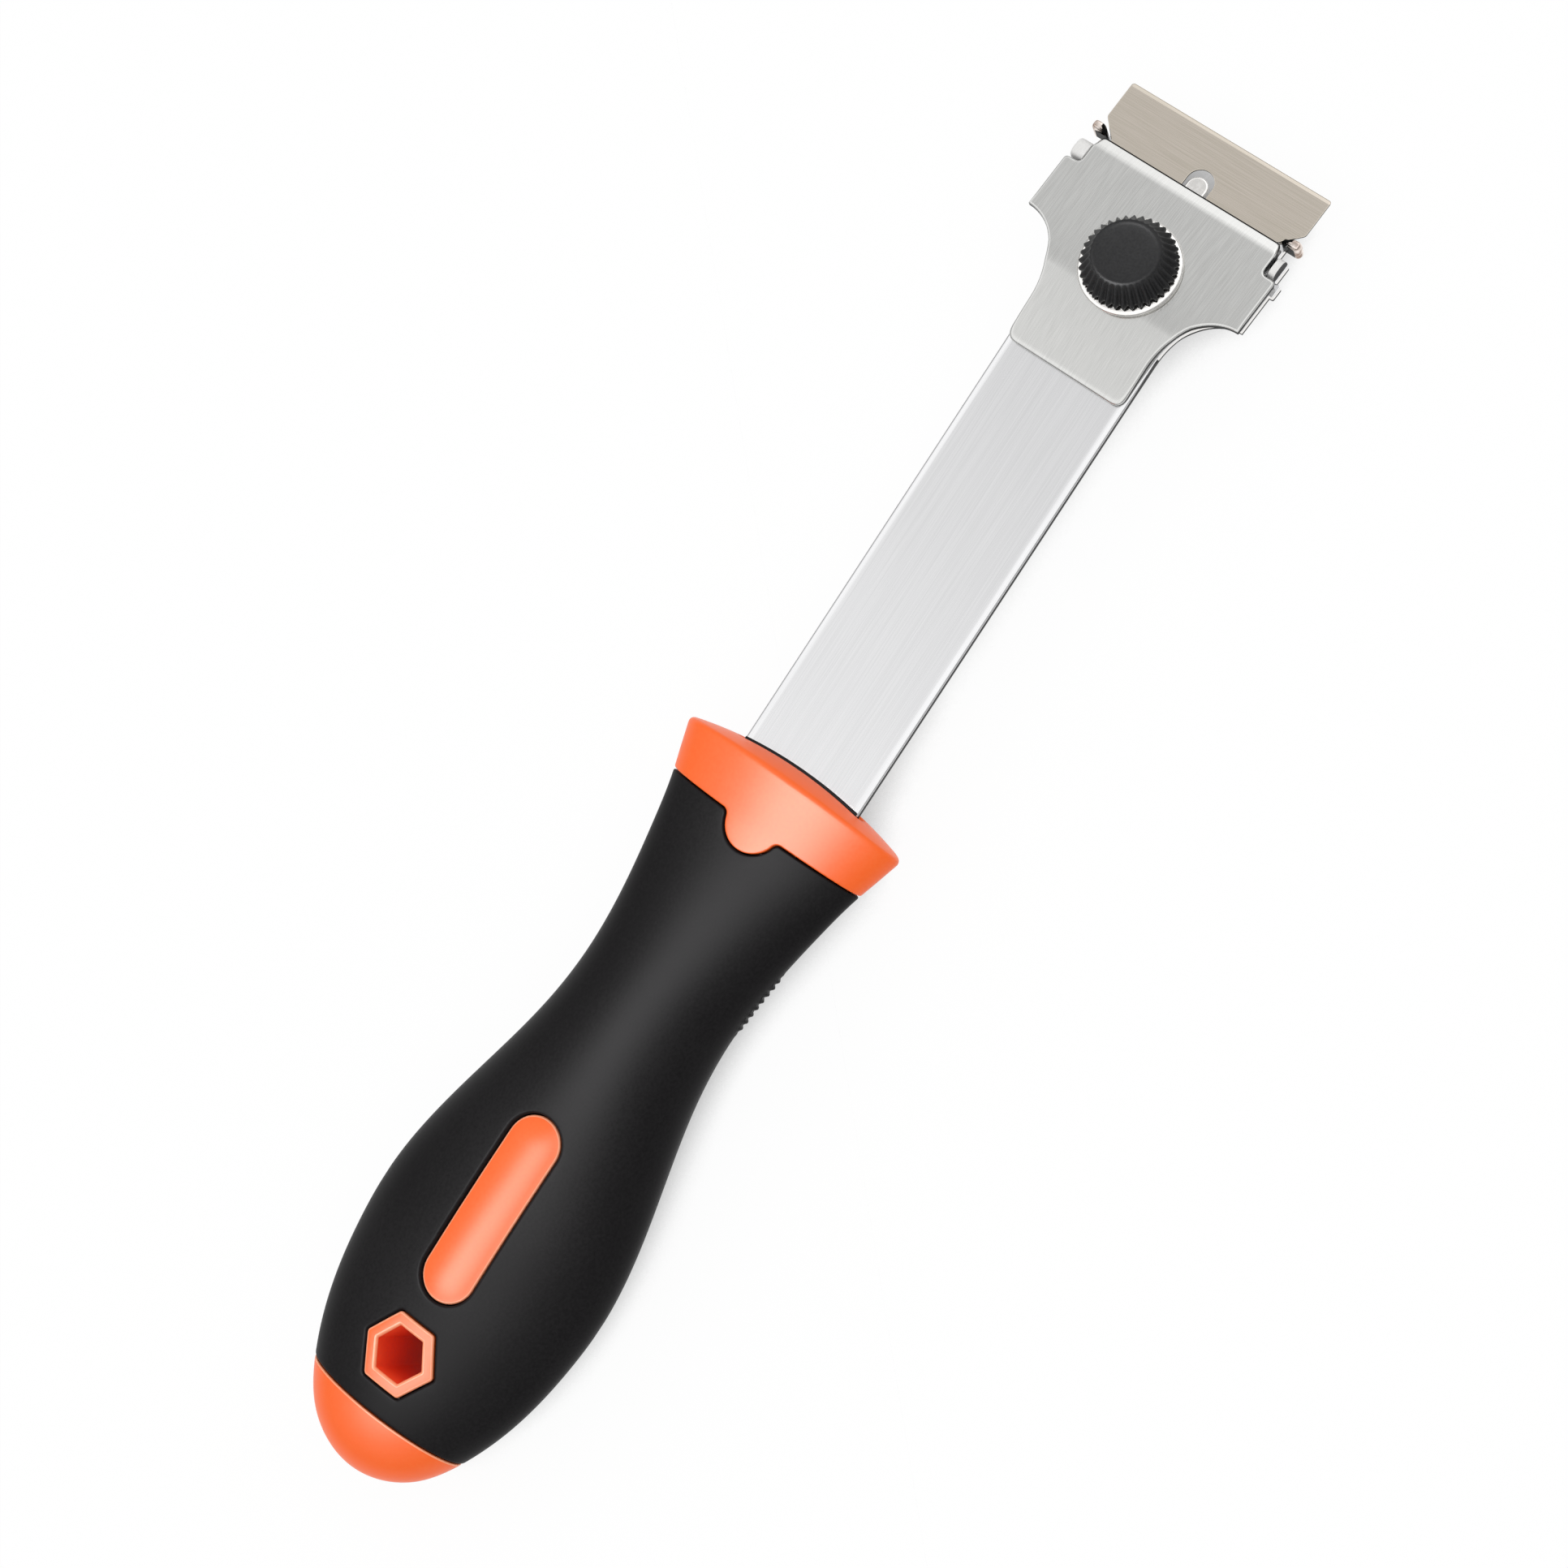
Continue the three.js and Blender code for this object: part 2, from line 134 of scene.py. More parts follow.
def in_head(p, y, n):
    """Points in metres from places along the head, to the left and up from its sheet."""
    x = BEND_X + p * math.cos(HEAD_PITCH) + n * math.sin(HEAD_PITCH)
    z = n * math.cos(HEAD_PITCH) - p * math.sin(HEAD_PITCH)
    return in_tool(x, y, z)


def along_bend(pitch):
    """Places a flat sheet on the head: in front of the bend it is flat, behind it the sheet falls away."""
    start = BEND_RADIUS * math.tan(pitch / 2)

    def place(p, y, n):
        run = np.where(p < 0, p / math.cos(pitch), p)
        turn = np.clip((start - run) / (2 * start), 0, 1) * pitch
        tail = np.minimum(run + start, 0)
        bent_p = start - (BEND_RADIUS + n) * np.sin(turn) + tail * math.cos(pitch)
        bent_n = (BEND_RADIUS + n) * np.cos(turn) - BEND_RADIUS + tail * math.sin(pitch)
        flat = run > start
        return in_head(np.where(flat, run, bent_p), y, np.where(flat, n, bent_n))

    return place


def bend_cuts(pitch):
    """Where a bent sheet needs points across it."""
    start = BEND_RADIUS * math.tan(pitch / 2)
    return [share * start for share in np.linspace(-1, 1, 7)]


def smooth_through(points, steps):
    """A curve with even bending through all the points."""
    points = np.asarray(points, float)
    spans = np.linalg.norm(np.diff(points, axis=0), axis=1)
    count = len(points)
    weights = np.eye(count)
    pull = np.zeros_like(points)
    for i in range(1, count - 1):
        weights[i, i - 1:i + 2] = spans[i - 1], 2 * (spans[i - 1] + spans[i]), spans[i]
        pull[i] = 6 * ((points[i + 1] - points[i]) / spans[i] - (points[i] - points[i - 1]) / spans[i - 1])
    bend = np.linalg.solve(weights, pull)
    share = np.linspace(0, 1, steps, endpoint=False)[:, None]
    rest = 1 - share
    runs = []
    for i in range(count - 1):
        run = rest * points[i] + share * points[i + 1]
        run += spans[i] ** 2 / 6 * ((rest ** 3 - rest) * bend[i] + (share ** 3 - share) * bend[i + 1])
        runs.append(run)
    return np.vstack(runs + [points[-1:]])


# The butt is round: the stations run on through it to its other side
BUTT_MIRROR = [(x, -width, -depth) for x, width, depth in GRIP_STATIONS[3:0:-1]]
GRIP_CURVE = smooth_through(BUTT_MIRROR + GRIP_STATIONS, 60)[3 * 60:]
BELLY = GRIP_CURVE[:, 0] < -20
GRIP_CURVE[BELLY, 1:] = np.minimum(GRIP_CURVE[BELLY, 1:], np.max(GRIP_STATIONS[:12], axis=0)[1:])


def half_width(x):
    return np.interp(x, GRIP_CURVE[:, 0], GRIP_CURVE[:, 1])


def half_depth(x):
    return np.interp(x, GRIP_CURVE[:, 0], GRIP_CURVE[:, 2])


def on_grip(x, angle, sink=0.0):
    """A point of the oval grip, sunk below its surface."""
    width, depth = half_width(x), half_depth(x)
    across, up = np.cos(angle) / width, np.sin(angle) / depth
    length = np.hypot(across, up)
    y = width * np.cos(angle) - sink * across / length
    z = depth * np.sin(angle) - sink * up / length
    return in_tool(x, y, z)


def angle_at(x, y):
    return np.arccos(np.clip(y / half_width(x), -1, 1))


def arc(x, y, radius_x, radius_y, start, end, steps):
    turns = np.radians(np.linspace(start, end, steps + 1))
    return columns(x + radius_x * np.cos(turns), y + radius_y * np.sin(turns))


def joined(arcs, steps):
    """A closed outline through these arcs, with points along the straight runs between them."""
    share = np.linspace(0, 1, steps)[1:-1, None]
    parts = []
    for here, after in zip(arcs, arcs[1:] + arcs[:1]):
        parts += [here, here[-1] + (after[0] - here[-1]) * share]
    return np.vstack(parts)


def soft_corners(corners, steps=6):
    """A closed outline from corners (x, y, size of the rounding)."""
    corners = [np.array(corner, float) for corner in corners]
    points = []
    for place, corner in enumerate(corners):
        here, size = corner[:2], corner[2]
        if size == 0:
            points.append(here)
            continue
        before = corners[place - 1][:2] - here
        after = corners[(place + 1) % len(corners)][:2] - here
        first = here + before / np.linalg.norm(before) * size
        last = here + after / np.linalg.norm(after) * size
        for share in np.linspace(0, 1, steps + 1):
            points.append((1 - share) ** 2 * first + 2 * share * (1 - share) * here + share ** 2 * last)
    points = np.array(points)
    apart = np.linalg.norm(points - np.roll(points, 1, axis=0), axis=1)
    return points[apart > 1e-5]


def mirrored(left_half):
    """A closed outline, the same on both sides, from its left half given from the rear to the front."""
    right_half = [(corner[0], -corner[1], *corner[2:]) for corner in left_half]
    return right_half + list(reversed(left_half))


def inset(outline, distance):
    """The outline moved inwards; it runs anticlockwise."""
    ahead = np.roll(outline, -1, axis=0) - outline
    ahead /= np.linalg.norm(ahead, axis=1)[:, None]
    behind = np.roll(ahead, 1, axis=0)
    left_ahead = columns(-ahead[:, 1], ahead[:, 0])
    left_behind = columns(-behind[:, 1], behind[:, 0])
    spread = 1 + np.sum(left_ahead * left_behind, axis=1)
    mitre = (left_ahead + left_behind) / np.maximum(spread, 0.4)[:, None]
    return outline + mitre * np.broadcast_to(distance, len(outline))[:, None]


def split_at(outline, cuts):
    """Adds a point to the outline wherever it crosses one of the cuts across the sheet."""
    points = []
    for here, after in zip(outline, np.roll(outline, -1, axis=0)):
        points.append(here)
        low, high = sorted((here[0], after[0]))
        crossed = [cut for cut in cuts if low + 1e-6 < cut < high - 1e-6]
        for cut in sorted(crossed, reverse=bool(after[0] < here[0])):
            points.append(here + (after - here) * (cut - here[0]) / (after[0] - here[0]))
    return np.array(points)


def within(points, outline):
    inside = np.zeros(len(points), bool)
    for (ax, ay), (bx, by) in zip(outline, np.roll(outline, -1, axis=0)):
        spans = (ay > points[:, 1]) != (by > points[:, 1])
        reach = ax + (points[:, 1] - ay) * (bx - ax) / (by - ay if by != ay else 1)
        inside ^= spans & (points[:, 0] < reach)
    return inside


def filled(outline, holes=(), lines=(), loose=(), framed=True, nearest=1e-7):
    """Triangles that fill an outline round its holes and keep each line as edges, and where framed the
    outline too. Gives the points, the triangles, and for each point its number in the order given."""
    loops = (outline, *holes) if framed else ()
    points, edges = [], []
    for place, run in enumerate((*loops, *lines)):
        start, count = len(points), len(run)
        points += [Vector(point) for point in run]
        edges += [(start + i, start + i + 1) for i in range(count - 1)]
        if place < len(loops):
            edges.append((start + count - 1, start))
    points += [Vector(point) for point in loose]
    found, _, faces, origins, _, _ = delaunay_2d_cdt(points, edges, [], 0, nearest)
    flat = np.array([tuple(point) for point in found])
    middles = np.array([flat[list(face)].mean(axis=0) for face in faces])
    keep = within(middles, np.asarray(outline))
    for hole in holes:
        keep &= ~within(middles, np.asarray(hole))
    kept = [list(face) for face, good in zip(faces, keep) if good]
    return flat, kept, [origin[0] if origin else -1 for origin in origins]


def lofted(rows, finish=0, turned=False, closed=True, first_cap=False, last_cap=False):
    """One skin through rows of points, with flat ends where wanted. Seen from outside, the rows run
    anticlockwise and each lies above the one before; turned is for rows that run the other way."""
    count = len(rows[0])
    faces = []
    for low in range(0, count * (len(rows) - 1), count):
        high = low + count
        for i in range(count if closed else count - 1):
            after = (i + 1) % count
            faces.append([low + i, low + after, high + after, high + i])
    if first_cap:
        faces.append(list(range(count))[::-1])
    if last_cap:
        faces.append([(len(rows) - 1) * count + i for i in range(count)])
    if turned:
        faces = [face[::-1] for face in faces]
    return np.vstack(rows), faces, finish


def parted(points, faces, marks):
    """One skin for each finish that the marks give to the faces."""
    return [(points, [face for face, mark in zip(faces, marks) if mark == finish], finish)
            for finish in np.unique(marks)]


def underside(skins):
    """The same skins on the back of the handle, which is as its front."""
    turned = []
    for points, faces, finish in skins:
        other = np.array(points)
        other[:, 2] = 2 * TOOL_ORIGIN[2] * MM - other[:, 2]
        turned.append((other, [face[::-1] for face in faces], finish))
    return turned


def show_piece(name, skins, finishes, body, node, weld=False):
    """One piece made of skins, each with the place of its finish in the list."""
    points, faces, marks = [], [], []
    start = 0
    for skin_points, skin_faces, finish in skins:
        points.append(skin_points)
        faces += [[v + start for v in face] for face in skin_faces]
        marks += [finish] * len(skin_faces)
        start += len(skin_points)
    mesh = bpy.data.meshes.new(name)
    mesh.from_pydata(np.vstack(points).tolist(), [], faces)
    mesh.polygons.foreach_set("material_index", marks)
    mesh.polygons.foreach_set("use_smooth", [True] * len(faces))
    for finish in finishes:
        mesh.materials.append(finish)
    if weld:
        welded = bmesh.new()
        welded.from_mesh(mesh)
        bmesh.ops.remove_doubles(welded, verts=welded.verts, dist=0.002 * MM)
        welded.to_mesh(mesh)
        welded.free()
    mesh.update()
    shown = bpy.data.objects.new(name, mesh)
    bpy.context.scene.collection.objects.link(shown)
    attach(shown, body)
    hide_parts(node)
    return shown


def rounded_lip(radius):
    """Distance from the wall and depth below the surface, from the top of the wall to the flush surface."""
    turns = np.radians(np.linspace(0, 90, 7))
    return [(radius * (1 - math.cos(turn)), radius * (1 - math.sin(turn))) for turn in turns]


# Materials

def colour(code):
    parts = [int(code[i:i + 2], 16) / 255 for i in (1, 3, 5)]
    return (*[c / 12.92 if c <= 0.04045 else ((c + 0.055) / 1.055) ** 2.4 for c in parts], 1.0)


def add(tree, kind, inputs=None, **settings):
    """Adds one node with its settings; inputs are values or other nodes' outputs."""
    node = tree.nodes.new(kind)
    for name, value in settings.items():
        setattr(node, name, value)
    for socket, value in (inputs or {}).items():
        if isinstance(value, bpy.types.NodeSocket):
            tree.links.new(value, node.inputs[socket])
        else:
            node.inputs[socket].default_value = value
    return node


def new_finish(name, **values):
    """A material with its shader, the place on the piece, and the shader's uniform values."""
    finish = bpy.data.materials.new(name)
    finish.use_nodes = True
    tree = finish.node_tree
    shader = tree.nodes["Principled BSDF"]
    for socket, value in values.items():
        shader.inputs[socket.replace("_", " ")].default_value = value
    place = add(tree, "ShaderNodeTexCoord").outputs["Object"]
    return finish, tree, shader, place


def lay_finish(tree, shader, tint, dark, pale, relief, rough, depth_mm):
    """Links the colours, the roughness and the bump of a surface to the patterns that make them."""
    mix = add(tree, "ShaderNodeMix", {0: tint, 6: colour(dark), 7: colour(pale)}, data_type="RGBA")
    tree.links.new(mix.outputs[2], shader.inputs["Base Color"])
    satin = add(tree, "ShaderNodeMapRange", {"Value": relief, "From Min": 0.3, "From Max": 0.7,
                                             "To Min": rough[0], "To Max": rough[1]})
    tree.links.new(satin.outputs[0], shader.inputs["Roughness"])
    bump = add(tree, "ShaderNodeBump", {"Height": relief, "Distance": depth_mm * MM, "Strength": 1.0})
    tree.links.new(bump.outputs[0], shader.inputs["Normal"])


def moulded_finish(name, dark, pale, grain_mm, rough, grain_depth_mm, **values):
    """Moulded plastic or rubber, or a dipped coat: a fine grain, and clouds of colour 25 mm wide.
    Real grain is about 0.05 mm wide and too fine to show, so it is drawn about ten times as coarse."""
    finish, tree, shader, place = new_finish(name, **values)
    grain = add(tree, "ShaderNodeTexNoise", {"Vector": place, "Scale": 1 / (grain_mm * MM), "Detail": 2.0})
    cloud = add(tree, "ShaderNodeTexNoise", {"Vector": place, "Scale": 1 / (25 * MM), "Detail": 3.0})
    both = add(tree, "ShaderNodeMath", {0: grain.outputs["Fac"], 1: cloud.outputs["Fac"]},
               operation="MULTIPLY")
    tint = add(tree, "ShaderNodeMapRange", {"Value": both.outputs[0], "From Min": 0.15, "From Max": 0.35})
    lay_finish(tree, shader, tint.outputs[0], dark, pale, grain.outputs["Fac"], rough, grain_depth_mm)
    return finish


def brushed_finish(name, dark, pale, stretch_mm, rough, line_depth_mm):
    """Steel drawn over an abrasive belt: lines as long and wide as the stretch says, and faint clouds.
    Real belt lines are about 0.03 mm wide, too fine to show, and are drawn three or four times as wide.
    A stretch that is alike all ways gives patches, as on plating."""
    finish, tree, shader, place = new_finish(name, Metallic=1.0)
    scale = tuple(1 / (size * MM) for size in stretch_mm)
    laid = add(tree, "ShaderNodeMapping", {"Vector": place, "Scale": scale})
    lines = add(tree, "ShaderNodeTexNoise", {"Vector": laid.outputs[0], "Scale": 1.0, "Detail": 1.0,
                                             "Roughness": 0.6})
    broad = add(tree, "ShaderNodeTexNoise", {"Vector": place, "Scale": 1 / (18 * MM), "Detail": 2.0})
    cloud = 0.15
    both = add(tree, "ShaderNodeMath", {0: broad.outputs["Fac"], 1: cloud, 2: lines.outputs["Fac"]},
               operation="MULTIPLY_ADD")
    tint = add(tree, "ShaderNodeMapRange", {"Value": both.outputs[0], "From Min": 0.35 + cloud / 2,
                                            "From Max": 0.65 + cloud / 2})
    lay_finish(tree, shader, tint.outputs[0], dark, pale, lines.outputs["Fac"], rough, line_depth_mm)
    return finish


# Thermoplastic rubber moulded over the core: nearly black and matte, a broad weak shine along its crown
GRIP_RUBBER = moulded_finish("thermoplastic_rubber_moulded_matte", "#181718", "#1E1D1E", 0.5, (0.4, 0.47),
                             0.01, Specular_IOR_Level=0.05)
# Polypropylene core, satin from a polished mould: a clean orange with a soft pale shine
CORE_PLASTIC = moulded_finish("polypropylene_moulded_satin_orange", "#FF661C", "#FF6A22", 0.6, (0.34, 0.4),
                              0.003, Specular_IOR_Level=0.35)
# Its edges are painted pale along their rounded rims: a painted highlight
CORE_EDGE_HIGHLIGHT = moulded_finish("polypropylene_edge_painted_highlight", "#FF9A6E", "#FFA67E", 0.6, (0.3, 0.36),
                           0.002, Specular_IOR_Level=0.4)
# In the hanging hole and the bar's slot the core is unpolished and rougher; its deeper red is painted shade
# for the hollows, and it also paints a shade line on the dome round the bar
CORE_BORE_SHADE = moulded_finish("polypropylene_bore_painted_shade", "#F8522A", "#FF5A30", 0.6, (0.5, 0.6),
                           0.006, Specular_IOR_Level=0.2)
# Acetal knob: dark grey, a little shinier than the grip
KNOB_PLASTIC = moulded_finish("acetal_moulded_satin_black", "#232324", "#2A2A2B", 0.4, (0.38, 0.46),
                              0.006, Specular_IOR_Level=0.17)
# Stainless bar, belt-brushed along its length so finely that it reads as satin
BAR_STEEL = brushed_finish("stainless_steel_brushed_satin", "#DDDDDE", "#E3E3E4", (20, 0.12, 20),
                           (0.17, 0.2), 0.0001)
# Cover, brushed with a coarser belt: pale and dark lines that the eye sees
COVER_STEEL = brushed_finish("stainless_steel_brushed_coarse", "#C9C9C7", "#D3D3D1", (5, 0.1, 5),
                             (0.17, 0.22), 0.0005)
# Blade: spring steel with a warm cast, ground along its cutting edge
BLADE_STEEL = brushed_finish("spring_steel_ground_warm_grey", "#C5BDB0", "#CDC4B9", (0.1, 10, 40),
                             (0.2, 0.25), 0.0004)
# Bright plating on washer, screw, nut and the head plate's tongue and ears: it mirrors the room
PLATED_STEEL = brushed_finish("plated_steel_bright", "#E9E7E4", "#F2F0ED", (0.6, 0.6, 0.6),
                              (0.1, 0.18), 0.0006)
# Front lugs, drawn and hardened: bright metal with dark and straw-coloured patches, which are painted
# reflection
LUG_PAINTED_REFLECTION = brushed_finish("plated_steel_painted_reflection_patches", "#8A6E5C", "#FFF4EC", (1.3, 1.3, 1.3),
                           (0.08, 0.14), 0.0004)
# Side lugs painted pale and soft with hardly any mirror: a painted highlight on their lit tops and edges
LUG_PALE_HIGHLIGHT = moulded_finish("steel_lug_painted_pale_highlight", "#DEDDDB", "#E9E8E6", 0.3, (0.4, 0.5),
                           0.002, Specular_IOR_Level=0.5)
# Edge of the sheet, painted nearly black with a torn grain: a painted dark reflection against the brushed
# faces
PAINTED_DARK_EDGE = brushed_finish("stainless_steel_edge_painted_dark_reflection", "#0A0A0A", "#161616", (2, 2, 0.15),
                              (0.35, 0.5), 0.004)


# Handle

def window_outline(offset):
    reach, half = WINDOW_RADIUS + offset, WINDOW_STRAIGHT / 2
    front = arc(WINDOW_X + half, 0, reach, reach, -90, 90, 28)
    rear = arc(WINDOW_X - half, 0, reach, reach, 90, 270, 28)
    return joined([front, rear], 26)


def hex_outline(reach, corner):
    """Six flats at this reach from the middle, two of them across the tool, with rounded corners."""
    rounds = []
    for heading in range(30, 360, 60):
        middle = (reach - corner) / HEX_FLAT
        x = HEX_X + middle * math.cos(math.radians(heading))
        y = middle * math.sin(math.radians(heading))
        rounds.append(arc(x, y, corner, corner, heading - 30, heading + 30, 6))
    return joined(rounds, 8)


def collar_line(shift):
    """The collar's rear edge with its round tab, moved forward by shift, from the left side to the right."""
    rear = COLLAR_REAR_X + shift
    radius, fillet = TAB_RADIUS - shift, max(TAB_FILLET + shift, 0.05)
    apart = TAB_FORWARD - shift + fillet
    reach = math.sqrt((radius + fillet) ** 2 - apart ** 2)
    meet = math.degrees(math.atan2(apart, reach))
    left = np.vstack([
        arc(rear - fillet, reach, fillet, fillet, 0, meet - 90, 8),
        arc(COLLAR_REAR_X + TAB_FORWARD, 0, radius, radius, 90 + meet, 180, 20)[1:],
    ])
    tab = np.vstack([left, left[-2::-1] * (1, -1)])
    angles = angle_at(tab[:, 0], tab[:, 1])
    side = np.linspace(0, angles[0], 48, endpoint=False)
    return np.vstack([columns(rear, side), columns(tab[:, 0], angles), columns(rear, (math.pi - side)[::-1])])


def butt_line(shift):
    return columns(SLEEVE_REAR_X + shift, np.linspace(0, math.pi, 97))


# Angles are stretched to millimetres round the grip, so that the triangles come out even
ROUND = 16.0


def round_grip(outline):
    """Plan points as places along the grip and angles round it."""
    return columns(outline[:, 0], angle_at(*outline.T))


def stretched(line):
    return line * (1, ROUND)


def eased(share):
    share = np.clip(share, 0, 1)
    return share * share * (3 - 2 * share)


def rib_rise(x, angle, back):
    """Anti-slip ribs across the back of the neck, which fade out where they come round to its sides."""
    beyond_side = np.minimum(angle, math.pi - angle) * (1 if back else -1)
    reach = eased((beyond_side + math.radians(6)) / math.radians(18))
    ends = eased((x - RIBS_FROM) / RIB_FADE) * eased((RIBS_TO - x) / RIB_FADE)
    wave = 0.5 - 0.5 * np.cos(2 * math.pi * (x - RIBS_FROM) / RIB_PITCH)
    return RIB_HEIGHT * ends * reach * wave


def grip_patch(seams, pockets, step_x, step_angle, ribs=None, back=False):
    """The oval skin from its rear seam to its front seam, round its pockets. Each seam and pocket is a list
    of (line, depth) from its wall to the flush surface; a pocket's lines are closed."""
    outline = stretched(np.vstack([seams[0][0][0], seams[1][0][0][::-1]]))
    holes = [stretched(pocket[0][0]) for pocket in pockets]
    runs = [(stretched(line), depth) for seam in seams for line, depth in seam]
    runs += [(stretched(np.vstack([line, line[:1]])), depth) for pocket in pockets for line, depth in pocket]
    xs = np.arange(outline[:, 0].min(), outline[:, 0].max(), step_x)
    angles = np.linspace(0, math.pi, int(math.pi / step_angle) + 1)
    loose = np.array([(x, angle) for x in xs for angle in angles])
    loose = stretched(loose if ribs is None else np.vstack([loose, ribs]))
    clear = within(loose * (1, 0.99999) + (0, 1e-4), outline)
    for hole in holes:
        clear &= ~within(loose, hole)
    every = np.vstack([run for run, _ in runs])
    for start in range(0, len(loose), 400):
        gap = np.linalg.norm(loose[start:start + 400, None, :] - every[None, :, :], axis=2).min(axis=1)
        clear[start:start + 400] &= gap > 0.45 * step_x
    flat, faces, origins = filled(outline, holes, [run for run, _ in runs], loose[clear], False, 1e-6)
    given = np.concatenate([np.full(len(run), depth) for run, depth in runs])
    depth = np.array([given[origin] if 0 <= origin < len(given) else 0.0 for origin in origins])
    x, angle = flat[:, 0], flat[:, 1] / ROUND
    skin = on_grip(x, angle, depth - rib_rise(x, angle, back) * (depth == 0))
    return skin, [face[::-1] for face in faces], FLUSH


def hidden_wall(rim, closed, turned):
    """The wall below the rim of a seam or pocket."""
    line, depth = rim[0]
    return lofted([on_grip(*line.T, WALL_DEPTH), on_grip(*line.T, depth)], FLUSH, turned, closed)


def grip_sleeve():
    lip, seam_lip = rounded_lip(POCKET_ROUND), rounded_lip(PART_LINE_ROUND)
    flat = HEX_OUTER * HEX_FLAT
    window = [(round_grip(window_outline(distance)), depth) for distance, depth in lip]
    hexagon = [(round_grip(hex_outline(flat + distance, POCKET_CORNER + distance)), depth)
               for distance, depth in lip]
    collar_seam = [(collar_line(-PART_LINE_GAP - distance), depth) for distance, depth in seam_lip]
    butt_seam = [(butt_line(PART_LINE_GAP + distance), depth) for distance, depth in seam_lip]
    walls = [hidden_wall(window, True, True), hidden_wall(hexagon, True, True),
             hidden_wall(collar_seam, False, True), hidden_wall(butt_seam, False, False)]
    rib_xs = np.arange(RIBS_FROM, RIBS_TO, RIB_PITCH / 8)
    sides = np.radians([0.7, 2, 4, 6])
    rib_angles = {False: np.concatenate([sides, math.pi - sides]), True: np.radians(np.arange(1, 180, 2.5))}
    front, back = [
        grip_patch([butt_seam, collar_seam], [window, hexagon], step_x=0.9, step_angle=math.radians(3),
                   ribs=np.array([(x, angle) for x in rib_xs for angle in rib_angles[side]]), back=side)
        for side in (False, True)
    ]
    return [front] + walls + underside([back] + walls)


def pad_top(outline, depth):
    """Plan points on the grip's crown, this deep below it."""
    return on_grip(*round_grip(outline).T, depth)


def window_pad():
    """Crowned: flush in its middle, sunk at its edge."""
    lip = rounded_lip(PAD_ROUND)
    side = [pad_top(window_outline(-POCKET_GAP), depth) for depth in (WALL_DEPTH, PAD_ROUND + PAD_SINK)]
    rim = [pad_top(window_outline(-POCKET_GAP - distance), depth + PAD_SINK) for distance, depth in lip]
    crown = rim[-1:]
    for share in (0.85, 0.7, 0.55, 0.4, 0.25, 0.12, 0.0):
        inner = window_outline(-WINDOW_RADIUS + (WINDOW_RADIUS - POCKET_GAP - lip[-1][0]) * share)
        crown.append(pad_top(inner, PAD_SINK * share ** 2))
    return [lofted(side), lofted(rim, RIM), lofted(crown)]


def hex_boss():
    """The front half of the hexagonal boss round the hanging hole."""
    outer = HEX_OUTER * HEX_FLAT - POCKET_GAP
    hole = HEX_HOLE * HEX_FLAT
    side = [pad_top(hex_outline(outer, BOSS_CORNER), depth) for depth in (WALL_DEPTH, PAD_ROUND)]
    rim = [pad_top(hex_outline(outer - distance, BOSS_CORNER - distance * 0.8), depth)
           for distance, depth in rounded_lip(PAD_ROUND)]
    mouth = [pad_top(hex_outline(hole + distance, HOLE_CORNER + distance * 0.5), depth)
             for distance, depth in rounded_lip(HOLE_ROUND)[::-1]]
    middle = np.array(mouth[-1])
    middle[:, 2] = TOOL_ORIGIN[2] * MM
    bore = [mouth[-1] + (middle - mouth[-1]) * share for share in (0, 0.1, 0.4, 0.7, 1)]
    top = [rim[-1], mouth[0]]
    return [lofted(side), lofted(rim, RIM), lofted(top), lofted(mouth, RIM), lofted(bore, BORE)]


def butt_cap():
    angles = np.linspace(0, 2 * math.pi, 192, endpoint=False)

    def ring(x, depth=0.0):
        return on_grip(x, angles, depth)

    front = SLEEVE_REAR_X - PART_LINE_GAP
    rows = [ring(x) for x in BUTT_X + 0.002 + np.linspace(0, 1, 40) ** 2 * (SLEEVE_REAR_X - 0.6 - BUTT_X)]
    rim = [ring(front - distance, depth) for distance, depth in rounded_lip(PART_LINE_ROUND)[::-1]]
    rows.append(rim[0])
    end = [rim[-1], ring(front, WALL_DEPTH)]
    return [lofted(rows, turned=True, first_cap=True), lofted(rim, RIM, True), lofted(end, turned=True)]


def crown_x(y, z):
    """Where the domed front of the collar is."""
    length, width, depth = CROWN
    return COLLAR_CROWN_X - length + length * np.sqrt(1 - (y / width) ** 2 - (z / depth) ** 2)


